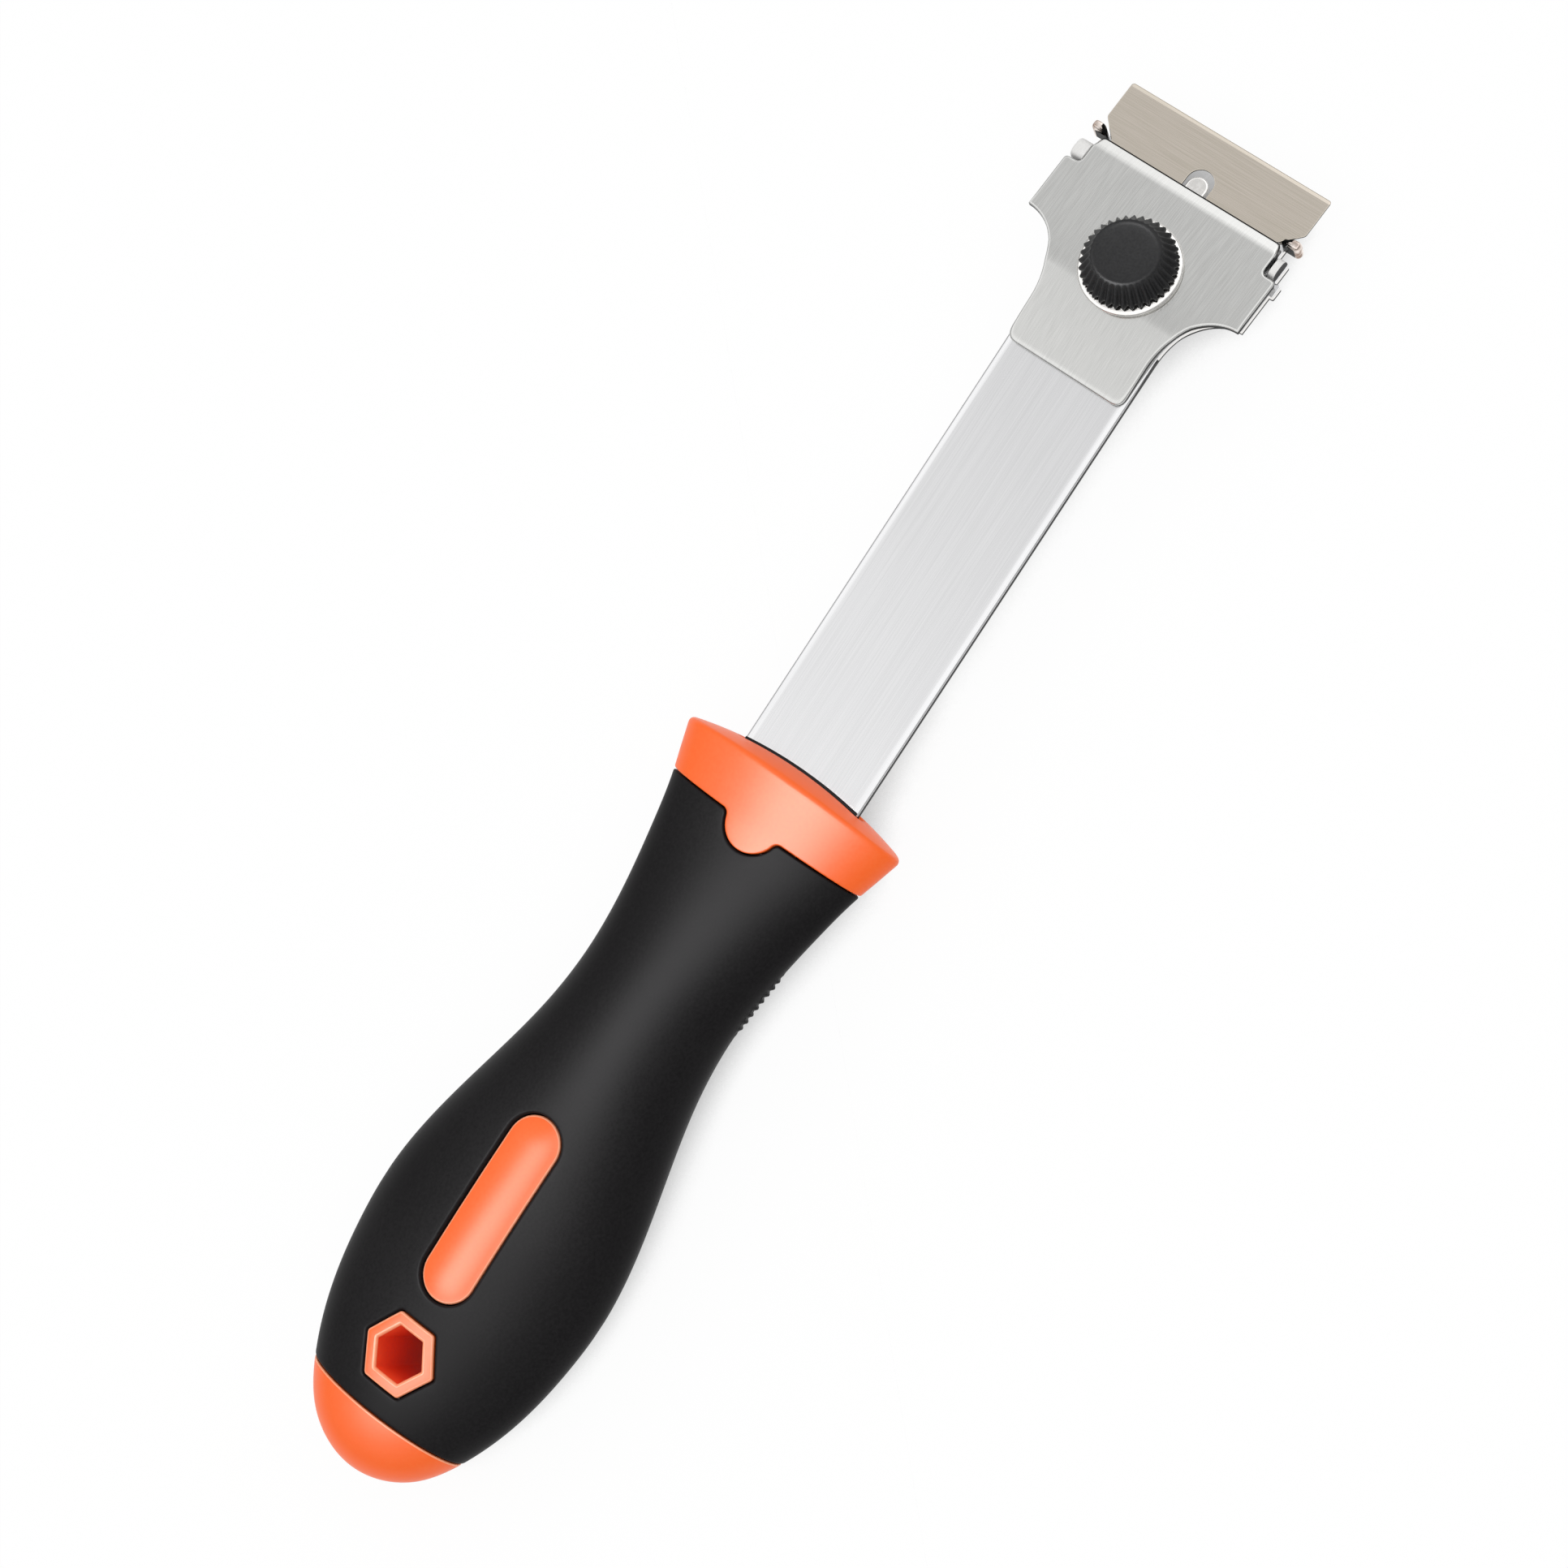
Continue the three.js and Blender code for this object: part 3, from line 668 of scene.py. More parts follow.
def collar():
    """Flared outside with the tab, a rounded front edge and a shallow dome that the bar comes out of, with a
    thin black strip of the rubber finish laid on the bar as a painted contact shadow."""
    angles = np.linspace(0, math.pi, 145)
    edge_x = np.full(len(angles), 1.0)
    for _ in range(20):
        edge_x = crown_x(half_width(edge_x) * np.cos(angles), half_depth(edge_x) * np.sin(angles))
    lip = rounded_lip(PART_LINE_ROUND)
    seam = [(collar_line(PART_LINE_GAP + distance), depth) for distance, depth in lip]
    front = columns(edge_x - COLLAR_CORNER, angles)
    outside = grip_patch([seam, [(front, 0.0)]], [], step_x=0.7, step_angle=math.radians(2.5))
    width, depth = half_width(edge_x), half_depth(edge_x)
    across, up = width * np.cos(angles), depth * np.sin(angles)
    keep = 1 - COLLAR_CORNER / np.hypot(across, up)
    before = on_grip(front[:, 0], angles)
    corner = in_tool(edge_x, across, up)
    after = in_tool(crown_x(across * keep, up * keep), across * keep, up * keep)
    rows = [(1 - t) ** 2 * before + 2 * t * (1 - t) * corner + t ** 2 * after for t in np.linspace(0, 1, 9)]
    skins = [outside, hidden_wall(seam, False, False)]
    skins += [lofted(pair, closed=False) for pair in zip(rows, rows[1:])]
    ring = columns(across * keep, up * keep)
    ring = np.vstack([ring, ring[-2:0:-1] * (1, -1)])

    def mouth(apart):
        """The outline of the bar, this far from it."""
        wide, high, corner = BAR_HALF_WIDTH + apart, SHEET_HALF + apart, BAR_CORNER + apart
        return spaced(soft_corners([(-wide, -high, corner), (wide, -high, corner), (wide, high, corner),
                                    (-wide, high, corner)]), 0.8)

    def dome(y, z):
        """The front of the collar, drawn in round the bar."""
        apart = np.hypot(np.maximum(np.abs(y) - BAR_HALF_WIDTH, 0), np.maximum(np.abs(z) - SHEET_HALF, 0))
        return in_tool(crown_x(y, z) - MOUTH_DEPTH * (1 - eased(apart / MOUTH_WIDTH)), y, z)

    slot = mouth(BAR_GAP)
    steps = [mouth(apart) for apart in np.linspace(BAR_GAP, MOUTH_WIDTH, 7)[1:]]
    grid = np.array([(y, z) for y in np.arange(-21, 21.1, 0.8) for z in np.arange(-8, 8.1, 0.8)])
    grid = grid[within(grid, ring * 0.97) & ~within(grid, mouth(MOUTH_WIDTH + 0.3))]
    flat, faces, _ = filled(ring, [slot], [np.vstack([step, step[:1]]) for step in steps], grid)
    throat = dome(*slot.T)
    inside = throat - np.array([4 * MM, 0, 0])
    # The dome's faces within 0.4 mm of the slot take the darker bore finish: a painted shade line where the
    # bar goes in.
    middles = np.abs([flat[corners].mean(axis=0) for corners in faces]) - (BAR_HALF_WIDTH, SHEET_HALF)
    deep = np.hypot(*np.maximum(middles, 0).T) < 0.4
    fronts = parted(dome(*flat.T), faces, np.where(deep, BORE, FLUSH))
    # A thin black strip on the bar in front of the dome: a painted contact shadow.
    across = np.linspace(-1, 1, 41) * (BAR_HALF_WIDTH - 0.1)
    front = crown_x(across, SHEET_HALF)
    shade_strip = [in_tool(front + reach, across, SHEET_HALF + high)
             for reach, high in ((-0.3, 0.04), (0.24, 0.04), (0.28, 0.0))]
    skins += [lofted(pair, RUBBER, True, False) for pair in zip(shade_strip, shade_strip[1:])]
    return skins + underside(skins) + fronts + [lofted([inside, throat], BORE, True)]


# Steel sheet

def spaced(outline, longest=3.0):
    """The closed outline with more points, so that none of its sides is longer than this."""
    points = []
    for here, after in zip(outline, np.roll(outline, -1, axis=0)):
        parts = math.ceil(np.linalg.norm(after - here) / longest)
        points += [here + (after - here) * i / parts for i in range(parts)]
    return np.array(points)


def crossings(outline, cut):
    """The y places where the closed outline crosses a line at x = cut."""
    after = np.roll(outline, -1, axis=0)
    crossed = (outline[:, 0] <= cut) != (after[:, 0] <= cut)
    here, after = outline[crossed], after[crossed]
    return here[:, 1] + (after[:, 1] - here[:, 1]) * (cut - here[:, 0]) / (after[:, 0] - here[:, 0])


def sheet(outline, low, high, place, roll, cuts=(), holes=(), ease=None, dip=None, crease=None, edge=WALL,
          brow=None):
    """A stamped sheet: its top edge is rolled by the punch, its wall is sheared, its foot is barely broken.
    roll is how far the rounding reaches in and down, and ease is the share of it at a place along the sheet.
    dip is how far the top falls at such a place, and at the crease the fall starts sharply. edge is the
    wall's finish, or gives it for each place, and the top has it too ahead of the brow, where the dark wall
    finish paints a shade line."""
    outline = spaced(split_at(np.asarray(outline, float), cuts))
    holes = [split_at(hole, cuts) for hole in holes]
    share = np.ones(len(outline)) if ease is None else ease(outline[:, 0])
    foot = 0.1  # how far the lower edge is broken

    def face(rows, level, up, fall):
        """The top or the foot, from (reach, depth) rows at the wall to the flat surface."""
        loops = [inset(outline, reach * share) for reach, _ in rows]
        depths = [depth * share for _, depth in rows]
        lines = [np.vstack([loop, loop[:1]]) for loop in loops[1:]]
        given = [depths[0]] + [np.zeros(len(hole)) for hole in holes]
        given += [np.append(depth, depth[0]) for depth in depths[1:]]
        for cut in cuts:
            ys = crossings(loops[-1], cut)
            if len(ys) > 1:
                across = np.linspace(ys.min() + 0.05, ys.max() - 0.05, 12)
                lines.append(np.array([(cut, y) for y in across]))
                given.append(np.zeros(len(across)))
        flat, faces, origins = filled(loops[0], holes, lines)
        given = np.concatenate(given)
        depth = np.array([given[origin] if origin >= 0 else 0.0 for origin in origins])
        depth = depth + (0 if fall is None else fall(flat[:, 0]))
        points = place(*flat.T, level - depth if up else level + depth)
        faces = faces if up else [corners[::-1] for corners in faces]
        parting = crease if crease is not None else brow if up else None
        if parting is None:
            return [(points, faces, FACE)]
        behind = [corners for corners in faces if flat[corners, 0].mean() < parting]
        ahead = [corners for corners in faces if flat[corners, 0].mean() >= parting]
        return [(points, behind, FACE), (points, ahead, FACE if brow is None else edge)]

    turns = np.radians(np.linspace(0, 90, 9))
    top = [(roll[0] * (1 - math.cos(turn)), roll[1] * (1 - math.sin(turn))) for turn in turns]
    top.append((roll[0] + 0.2, 0.0))
    fall = np.zeros(len(outline)) if dip is None else dip(outline[:, 0])
    lift = fall if crease is not None else 0
    wall_low = place(*outline.T, low + foot * share + lift)
    wall_high = place(*outline.T, high - roll[1] * share - fall)
    skins = face(top, high, True, dip)
    marks = np.broadcast_to(edge(outline[:, 0]) if callable(edge) else edge, len(outline))
    # A bright wall is painted dark over its lower third: a painted dark reflection line under its bright part
    wall_middle = wall_low + (wall_high - wall_low) * np.where(marks == BRIGHT, 0.35, 1)[:, None]
    for first, second, dark in ((wall_low, wall_middle, True), (wall_middle, wall_high, False)):
        points, faces, _ = lofted([first, second])
        skins += [(*part, WALL if dark and callable(edge) else finish)
                  for *part, finish in parted(points, faces, marks)]
    skins += face([(0, foot), (foot, 0)], low, False, dip if crease is not None else None)
    for hole in holes:
        skins.append(lofted([place(*hole.T, level) for level in (low, high)], WALL, True))
    return skins


def beside_head(inside, way):
    """For lugs drawn in side view: along the head, up, and outwards to the left (way 1) or the right (-1)."""
    def place(p, n, out):
        return in_head(p, inside + way * out, n)

    return place


def ear_curve(narrow, wide, tip):
    """From the narrow bar out to the wide ear, as sharp corners of an outline."""
    curve = arc(tip - EAR_FILLET, wide, EAR_FILLET, wide - narrow, -90, 0, 18)
    return [(x, y, 0) for x, y in curve]


def screw_hole():
    radius = SCREW_RADIUS + HOLE_CLEARANCE
    return arc(KNOB_PLACE, 0, radius, radius, 0, 360, 40)[:-1]


def shank():
    bar_rear = (-4 - BEND_X) * math.cos(HEAD_PITCH)
    lug_rear = NOTCH_REAR + 0.5
    outline = soft_corners(mirrored([
        (bar_rear, BAR_HALF_WIDTH, 0),
        *ear_curve(BAR_HALF_WIDTH, PLATE_HALF_WIDTH, EAR_TIP + 1.0),
        (lug_rear - STUB_LENGTH, PLATE_HALF_WIDTH, 0),
        (lug_rear - STUB_LENGTH, PLATE_HALF_WIDTH + STUB_REACH, 0.3),
        (lug_rear, PLATE_HALF_WIDTH + STUB_REACH, 0.3),
        (lug_rear, LUG_OUTSIDE, 0.2),
        (lug_rear + SIDE_LUG_LENGTH, LUG_OUTSIDE, 0.3),
        (lug_rear + SIDE_LUG_LENGTH, NOTCH_HALF_WIDTH, 0.3),
        (COVER_FRONT + 1, NOTCH_HALF_WIDTH, 0.3),
        (COVER_FRONT + 1, NOTCH_HALF_WIDTH - 1.5, 0.3),
        (PLATE_FRONT, NOTCH_HALF_WIDTH - 1.5, 0.3),
    ]))

    def bar_roll(p):
        """Well rounded along the bar, nearly sharp from under the cover on."""
        return 1 - 0.84 * eased((p + 14) / 8)

    def bar_edge(p):
        """Painted dark along the bar, as a painted dark reflection; round the ears the wall takes the
        brighter plated metal.
        """
        return np.where(p < EAR_TIP - EAR_FILLET + 2, WALL, BRIGHT)

    skins = sheet(outline, -SHEET_HALF, SHEET_HALF, along_bend(HEAD_PITCH), roll=(1.5, 0.45), ease=bar_roll,
                  cuts=bend_cuts(HEAD_PITCH), holes=[screw_hole()], edge=bar_edge)
    side_lug = soft_corners([(lug_rear, -0.6, 0), (lug_rear + SIDE_LUG_LENGTH, -0.6, 0),
                             (lug_rear + SIDE_LUG_LENGTH, LUG_TOP, 1.7), (lug_rear, LUG_TOP, 1.4)], 9)
    # The right lug's broad faces take the painted dark and the left lug's the painted pale: shade and
    # highlight painted by side.
    for inside, outside, way, face in ((LUG_OUTSIDE - LUG_THICKNESS, LUG_OUTSIDE + 0.25, -1, WALL),
                                       (NOTCH_HALF_WIDTH + 0.1, LUG_OUTSIDE + 0.6, 1, SATIN)):
        lug = sheet(side_lug[::way], 0, outside - inside, beside_head(way * inside, way), roll=(0.5, 0.5),
                    edge=SATIN)
        skins += [(points, faces, finish or face) for points, faces, finish in lug]
    chamfer = BLADE_HALF_WIDTH - (BLADE_EDGE - BLADE_SIDE) + 0.5
    rear, front, outside = COVER_FRONT + 0.2, COVER_FRONT + 1.85, LUG_OUTSIDE + 0.4
    right_foot = [(rear, -outside, 0.75), (front, -outside, 0.75), (front, -front - chamfer, 0.75),
                  (rear, -rear - chamfer, 0.75)]
    left_foot = [(x, -y, size) for x, y, size in reversed(right_foot)]
    for foot in (right_foot, left_foot):
        lug = sheet(soft_corners(foot), -SHEET_HALF, LUG_TOP, in_head, roll=(0.5, 0.9), edge=FACE)
        # Each front lug's inner faces take the painted dark, as painted shade; the rest takes the painted
        # reflection patches.
        for points, faces, _ in lug:
            out = np.array([abs(points[corners, 1].mean()) for corners in faces])
            skins += parted(points, faces, np.where(out < (LUG_OUTSIDE - 1.2) * MM, WALL, REFLECTED_PATCHES))
    nose = arc(TONGUE_TIP - TONGUE_RADIUS, 0, TONGUE_RADIUS, TONGUE_RADIUS, -90, 90, 16)
    root = PLATE_FRONT - 2
    tongue = np.vstack([(root, -TONGUE_RADIUS), nose, (root, TONGUE_RADIUS)])
    tongue_skins = sheet(tongue, -SHEET_HALF, BLADE_HIGH, in_head, roll=(0.4, 0.25), edge=FACE)
    return skins + [(points, faces, BRIGHT) for points, faces, _ in tongue_skins]


def clamp_cover():
    rake = math.asin((COVER_LOW - SHEET_HALF - 0.25) / -COVER_REAR)
    pitch = HEAD_PITCH + rake
    outline = soft_corners(mirrored([
        (COVER_REAR, COVER_REAR_HALF_WIDTH, 2.0),
        *ear_curve(COVER_REAR_HALF_WIDTH, EAR_HALF_WIDTH, EAR_TIP),
        (NOTCH_REAR, EAR_HALF_WIDTH, 0.8),
        (NOTCH_REAR, NOTCH_HALF_WIDTH, 1.0),
        (COVER_FRONT - 2.5, NOTCH_HALF_WIDTH, 0),
        (COVER_FRONT, COVER_FRONT_HALF_WIDTH, 0.8),
    ]))

    def lip(p):
        """The front edge is pressed down in a soft curve."""
        reach = np.clip(p - COVER_FRONT + COVER_LIP, 0, COVER_LIP)
        return LIP_SLOPE * np.where(reach < LIP_SOFT, reach ** 2 / (2 * LIP_SOFT), reach - LIP_SOFT / 2)

    def rear_roll(p):
        """Rounder along the rear edge."""
        return 1 + 0.8 * eased((COVER_REAR + 3 - p) / 2)

    lip_cuts = [COVER_FRONT - COVER_LIP + reach for reach in (-0.15, 0, 0.2, 0.4, 0.6, 0.8, 1, 1.3, 1.6)]
    # Ahead of the brow the top takes the dark wall finish: a painted shade line along the front lip.
    return sheet(outline, COVER_LOW, COVER_HIGH, along_bend(pitch), roll=(0.42, 0.28),
                 cuts=bend_cuts(pitch) + lip_cuts, holes=[screw_hole()], ease=rear_roll, dip=lip,
                 brow=COVER_FRONT - LIP_BROW)


def ground_blade():
    """Chamfered rear corners, a slot open to the rear, and a ground bevel on both faces along the edge."""
    side, narrow = BLADE_EDGE - BLADE_SIDE, BLADE_HALF_WIDTH - BLADE_CHAMFER
    slot_end = arc(SLOT_END - SLOT_HALF_WIDTH, 0, SLOT_HALF_WIDTH, SLOT_HALF_WIDTH, 90, -90, 20)
    outline = soft_corners([
        *mirrored([
            (BLADE_REAR, narrow, 0.3),
            (side - BLADE_CHAMFER, narrow, 0.3),
            (side, BLADE_HALF_WIDTH, 0.4),
            (BLADE_EDGE, BLADE_HALF_WIDTH, 0.5),
        ]),
        (BLADE_REAR, SLOT_HALF_WIDTH, 0.3),
        *[(x, y, 0) for x, y in slot_end],
        (BLADE_REAR, -SLOT_HALF_WIDTH, 0.3),
    ])
    bevel_rear = BLADE_EDGE - BLADE_BEVEL

    def bevel(p):
        return BEVEL_DEPTH * np.clip((p - bevel_rear) / BLADE_BEVEL, 0, 1)

    return sheet(outline, BLADE_LOW, BLADE_HIGH, in_head, roll=(0.14, 0.06), cuts=[bevel_rear], dip=bevel,
                 crease=bevel_rear)


# Turned pieces on the knob's axis

def turned_piece(profile, count, reach=None):
    """Rows round the knob's axis from (radius, height) pairs; reach gives a row's radius round the turn."""
    turns = np.linspace(0, 2 * math.pi, count, endpoint=False)
    rows = []
    for row, (radius, height) in enumerate(profile):
        out = radius if reach is None else reach(row, turns)
        rows.append(in_head(KNOB_PLACE + out * np.cos(turns), out * np.sin(turns), height))
    return rows


def washer():
    inner, outer = SCREW_RADIUS + HOLE_CLEARANCE, WASHER_RADIUS
    profile = [(inner, WASHER_LOW), (outer - 0.15, WASHER_LOW), (outer, WASHER_LOW + 0.15)]
    turns = np.radians(np.linspace(0, 90, 6))
    profile += [(outer - 0.9 * (1 - math.cos(t)), WASHER_HIGH - 0.5 * (1 - math.sin(t))) for t in turns]
    profile += [(inner, WASHER_HIGH), (inner, WASHER_LOW)]
    return [lofted(turned_piece(profile, 128))]


def knob():
    """Fluted skirt that narrows to a smooth, dished top. A row has its height, radius and depth of flutes."""
    skirt = smooth_through([(0.3, 8.0, 0.75), (0.9, 8.0, 0.75), (1.9, 7.45, 0.7), (3.0, 6.8, 0.58),
                            (3.9, 6.2, 0.36), (4.35, 5.85, 0.12)], 5)
    rows = [(0, 2.65, 0), (0, 6.8, 0), (0, 7.65, 0.6)] + [tuple(row) for row in skirt]
    rows += [(4.5, 5.68, 0.04), (4.64, 5.5, 0), (4.7, 5.28, 0), (4.69, 5.1, 0), (4.62, 4.9, 0),
             (4.56, 4.6, 0), (4.49, 3.6, 0), (4.43, 2.4, 0), (4.4, 1.2, 0), (4.4, 0.05, 0)]

    def reach(row, turns):
        _, radius, flute = rows[row]
        tooth = 0.5 - 0.5 * np.cos(KNOB_TEETH * turns)
        return radius - flute * tooth ** 0.85

    profile = [(radius, KNOB_LOW + height) for height, radius, _ in rows]
    return [lofted(turned_piece(profile, KNOB_TEETH * 10, reach), last_cap=True)]


def clamp_screw():
    """M5 thread drawn as one helix, with a chamfered tip."""
    heights = np.arange(SCREW_TIP, KNOB_LOW + 2.8, SCREW_PITCH / 8)

    def reach(row, turns):
        climb = (heights[row] - SCREW_TIP) / SCREW_PITCH - turns / (2 * math.pi)
        thread = np.abs(2 * (climb - np.floor(climb)) - 1)
        tip = np.clip(0.6 + (heights[row] - SCREW_TIP) * 0.4, 0, 1)
        return (SCREW_RADIUS - THREAD_DEPTH * thread) * tip

    profile = [(SCREW_RADIUS, height) for height in heights]
    return [lofted(turned_piece(profile, 40, reach), first_cap=True, last_cap=True)]


def back_nut():
    """Hexagon nut: both ends are turned to a cone that rounds off its corners."""
    across, bore = NUT_ACROSS_FLATS / 2, SCREW_RADIUS + 0.1
    cone = [(across * 0.95, 0), (across * 1.06, 0.35), (across * 1.2, 0.8)]
    profile = [(bore, NUT_LOW)] + [(radius, NUT_LOW + rise) for radius, rise in cone]
    profile += [(radius, NUT_HIGH - rise) for radius, rise in reversed(cone)]
    profile += [(bore, NUT_HIGH), (bore, NUT_LOW)]

    def reach(row, turns):
        corner = (turns + math.pi / 6) % (math.pi / 3) - math.pi / 6
        return np.minimum(across / np.cos(corner), profile[row][0])

    return [lofted(turned_piece(profile, 96, reach))]


grip = show_piece("grip_sleeve_skin", grip_sleeve(), [GRIP_RUBBER], "holder", "grip_sleeve",
                  weld=True)
CORE_FRONT = window_pad() + hex_boss()
core = show_piece("handle_core_skin", CORE_FRONT + underside(CORE_FRONT) + butt_cap(),
                  [CORE_PLASTIC, CORE_EDGE_HIGHLIGHT, CORE_BORE_SHADE], "holder", "handle_core", weld=True)
core_collar = show_piece("handle_collar_skin", collar(), [CORE_PLASTIC, CORE_EDGE_HIGHLIGHT, CORE_BORE_SHADE, GRIP_RUBBER],
                         "holder", "handle_core", weld=True)
show_piece("shank_sheet", shank(), [BAR_STEEL, PAINTED_DARK_EDGE, PLATED_STEEL, LUG_PAINTED_REFLECTION, LUG_PALE_HIGHLIGHT],
           "holder", "shank")
show_piece("clamp_cover_sheet", clamp_cover(), [COVER_STEEL, PAINTED_DARK_EDGE],
           "cover", "clamp_cover")
show_piece("washer_ring", washer(), [PLATED_STEEL], "washer", "washer")
fluted_knob = show_piece("knob_cap", knob(), [KNOB_PLASTIC], "knob", "knob")
show_piece("clamp_screw_thread", clamp_screw(), [PLATED_STEEL], "knob", "clamp_screw")
show_piece("back_nut_hexagon", back_nut(), [PLATED_STEEL], "holder", "back_nut")
show_piece("blade_sheet", ground_blade(), [BLADE_STEEL, PAINTED_DARK_EDGE], "blade", "blade")


# Studio

def white_floor():
    """White paper to the eye and in the steel, grey only close under the tool."""
    reach = 4.0
    mesh = bpy.data.meshes.new("floor")
    corners = [(-reach, -reach, 0), (reach, -reach, 0), (reach, reach, 0), (-reach, reach, 0)]
    mesh.from_pydata(corners, [], [(0, 1, 2, 3)])
    floor = bpy.data.objects.new("floor", mesh)
    floor.location.z = -0.05 * MM
    bpy.context.scene.collection.objects.link(floor)
    paper = bpy.data.materials.new("white_paper")
    paper.use_nodes = True
    tree = paper.node_tree
    tree.nodes.clear()
    ray = add(tree, "ShaderNodeLightPath")
    seen = ray.outputs["Is Camera Ray"]
    for kind in ("Is Glossy Ray", "Is Transmission Ray"):
        seen = add(tree, "ShaderNodeMath", {0: seen, 1: ray.outputs[kind]}, operation="MAXIMUM").outputs[0]
    share = add(tree, "ShaderNodeMath", {0: seen, 1: 0.95}, operation="MULTIPLY")
    under = add(tree, "ShaderNodeAmbientOcclusion", {"Distance": 25 * MM}, samples=16)
    open_sky = add(tree, "ShaderNodeMapRange", {"Value": under.outputs["AO"], "From Min": 0.05,
                                                "From Max": 0.5})
    plain = add(tree, "ShaderNodeBsdfDiffuse", {"Color": (0.93, 0.93, 0.93, 1)})
    glow = add(tree, "ShaderNodeEmission", {"Color": (1, 1, 1, 1), "Strength": open_sky.outputs[0]})
    both = add(tree, "ShaderNodeMixShader", {0: share.outputs[0], 1: plain.outputs[0], 2: glow.outputs[0]})
    add(tree, "ShaderNodeOutputMaterial", {"Surface": both.outputs[0]})
    mesh.materials.append(paper)


def faded(tree, fades, light=1.0, joined="MULTIPLY"):
    """The light joined with each fade: a value, where the fade starts and ends, and its share there."""
    for value, start, end, first, last in fades:
        share = add(tree, "ShaderNodeMapRange", {"Value": value, "From Min": start, "From Max": end,
                                                 "To Min": first, "To Max": last},
                    interpolation_type="SMOOTHSTEP")
        light = add(tree, "ShaderNodeMath", {0: light, 1: share.outputs[0]}, operation=joined).outputs[0]
    return light


# Headings in the sky run from -1 to 1 along the tool, across it and up
CARD_MIDDLE, CARD_REACH = (0.28, 0.31), (0.47, 0.32)


def soft_sky():
    """White as in a light tent, with a grey card in front of and above the head, a brighter panel beyond it,
    a grey flag high on the right and darker walls towards the floor. The card shows in the flat steel, the
    rest in its rolled edges."""
    world = bpy.data.worlds.new("light_tent")
    bpy.context.scene.world = world
    world.use_nodes = True
    tree = world.node_tree
    tree.nodes.clear()
    heading = add(tree, "ShaderNodeTexCoord").outputs["Generated"]
    axes = add(tree, "ShaderNodeSeparateXYZ", {0: heading}).outputs
    away = add(tree, "ShaderNodeVectorMath", {0: heading, 1: (*CARD_MIDDLE, 0)}, operation="SUBTRACT")
    per_reach = (1 / CARD_REACH[0], 1 / CARD_REACH[1], 0)
    away = add(tree, "ShaderNodeVectorMath", {0: away.outputs[0], 1: per_reach}, operation="MULTIPLY")
    away = add(tree, "ShaderNodeVectorMath", {0: away.outputs[0]}, operation="LENGTH")
    card = (away.outputs["Value"], 0.35, 1.1, 0.75, 1.25)
    panel = (axes["X"], 0.78, 0.86, 1.0, 1.8)
    walls = (axes["Z"], 0.04, 0.62, 0.1, 1.0)
    flag = (axes["Y"], -0.8, -0.55, 0.35, 1.0)
    under_flag = (axes["Z"], 0.35, 0.5, 1.0, 0.0)
    light = faded(tree, [card, panel, walls])
    shade = faded(tree, [flag, under_flag], 0.0, "MAXIMUM")
    light = add(tree, "ShaderNodeMath", {0: light, 1: shade}, operation="MULTIPLY")
    ray = add(tree, "ShaderNodeLightPath")
    strength = add(tree, "ShaderNodeMix", {0: ray.outputs["Is Camera Ray"], 2: light.outputs[0], 3: 1.0},
                   data_type="FLOAT")
    sky = add(tree, "ShaderNodeBackground", {"Color": (1, 1, 1, 1), "Strength": strength.outputs[0]})
    add(tree, "ShaderNodeOutputWorld", {"Surface": sky.outputs[0]})


STRIP_LENGTH, STRIP_WIDTH, STRIP_PLACE = 430, 280, (-115, -5, 262)
STRIP_BELLY = 0.42


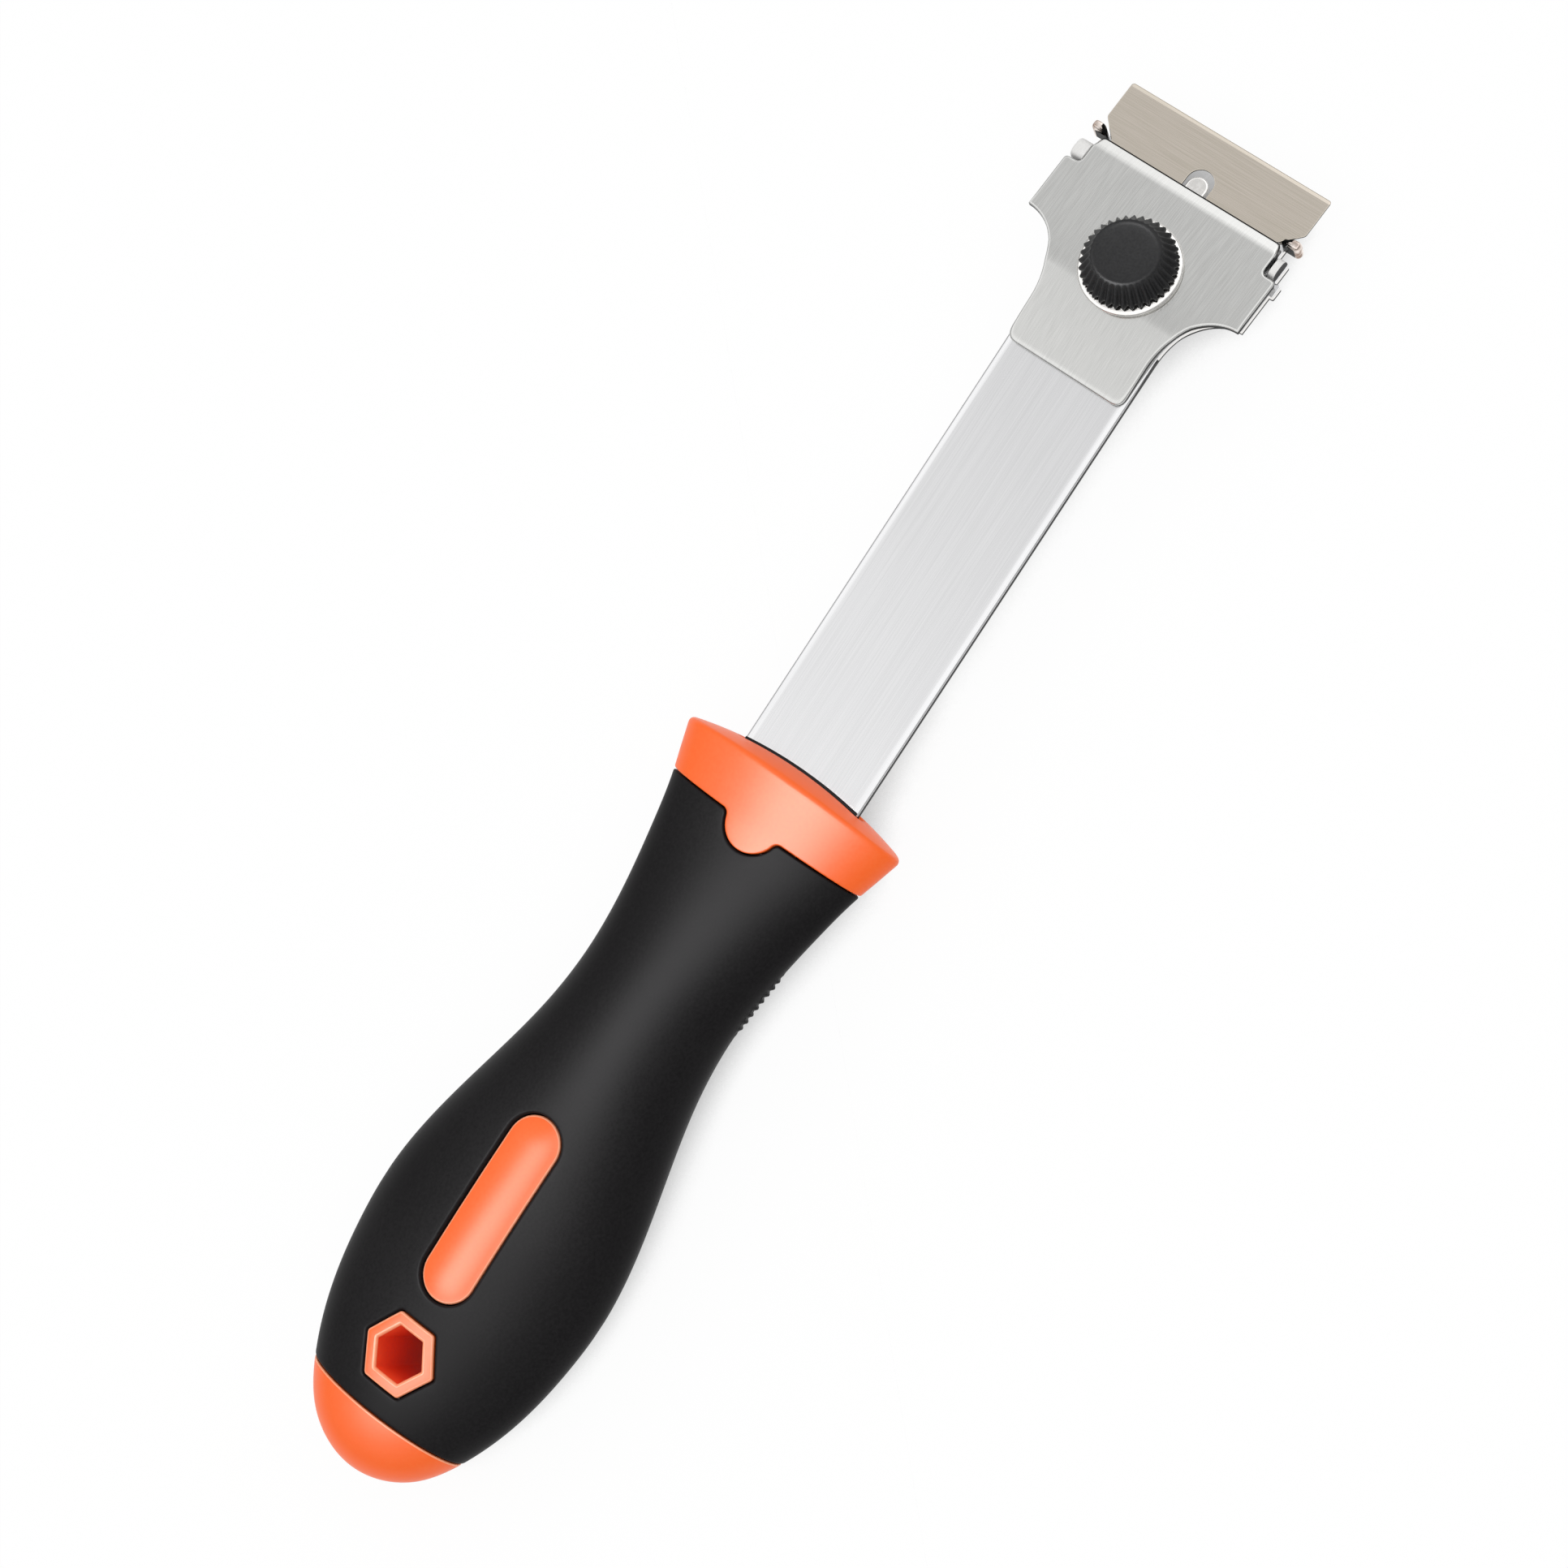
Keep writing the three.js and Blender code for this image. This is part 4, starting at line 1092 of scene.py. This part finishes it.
def strip_light(name, pieces, energy, slant, rear):
    """A strip light close over the tool that only these pieces mirror. It falls off slowly to the right and
    sharply to the left. The left limit can slant towards the head, and rear is the share of light over the
    belly."""
    strip = bpy.data.lights.new(name, "AREA")
    strip.shape = "RECTANGLE"
    strip.size = STRIP_LENGTH * MM
    strip.size_y = STRIP_WIDTH * MM
    strip.energy = energy
    strip.use_nodes = True
    tree = strip.node_tree
    place = add(tree, "ShaderNodeNewGeometry").outputs["Parametric"]
    place = add(tree, "ShaderNodeSeparateXYZ", {0: place}).outputs
    leaning = add(tree, "ShaderNodeMath", {0: place["X"], 1: slant, 2: place["Y"]}, operation="MULTIPLY_ADD")
    limit = slant * STRIP_BELLY
    right = (place["Y"], 0.0, 0.7, 0.0, 1.0)
    left = (leaning.outputs[0], 0.8 + limit, 1.0 + limit, 1.0, 0.0)
    along = (place["X"], STRIP_BELLY, 0.6, rear, 1.0)
    tree.links.new(faded(tree, [right, left, along]), tree.nodes["Emission"].inputs["Strength"])
    lamp = bpy.data.objects.new(name, strip)
    lamp.location = [size * MM for size in STRIP_PLACE]
    lamp.visible_camera = False
    lamp.visible_diffuse = False
    bpy.context.scene.collection.objects.link(lamp)
    lit = bpy.data.collections.new(name + "_pieces")
    for piece in pieces:
        lit.objects.link(piece)
    lamp.light_linking.receiver_collection = lit


CAMERA_LEAN, CAMERA_TURN, CAMERA_SLANT = math.radians(5.3), math.radians(20.0), math.radians(56.8)
CAMERA_DISTANCE, CAMERA_LENS, AIM_LEFT = 645, 92.42, 1.91


def photo_camera():
    """Above the tool, 20 degrees round to its right side and 5 towards the blade."""
    back = Vector((math.sin(CAMERA_LEAN), -math.sin(CAMERA_TURN) * math.cos(CAMERA_LEAN),
                   math.cos(CAMERA_TURN) * math.cos(CAMERA_LEAN)))
    ahead = (Vector((1, 0, 0)) - back.x * back).normalized()
    side = ahead.cross(back)
    right = math.cos(CAMERA_SLANT) * ahead + math.sin(CAMERA_SLANT) * side
    up = math.sin(CAMERA_SLANT) * ahead - math.cos(CAMERA_SLANT) * side
    stand = Vector(TOOL_ORIGIN) + Vector((0, AIM_LEFT, 0)) + CAMERA_DISTANCE * back
    turn = Matrix((right, up, back)).transposed().to_4x4()
    camera = bpy.data.objects.new("camera", bpy.data.cameras.new("camera"))
    camera.matrix_world = Matrix.Translation(stand * MM) @ turn
    camera.data.lens = CAMERA_LENS
    camera.data.sensor_width = 36
    camera.data.clip_start = 0.01
    bpy.context.scene.collection.objects.link(camera)
    bpy.context.scene.camera = camera


white_floor()
soft_sky()
strip_light("grip_strip", [grip, fluted_knob], 6.6, 0.0, 0.5)
strip_light("core_strip", [core], 4.4, 1.6, 1.0)
strip_light("collar_strip", [core_collar], 6.0, 0.0, 1.0)
photo_camera()
bpy.context.scene.view_settings.view_transform = "Standard"
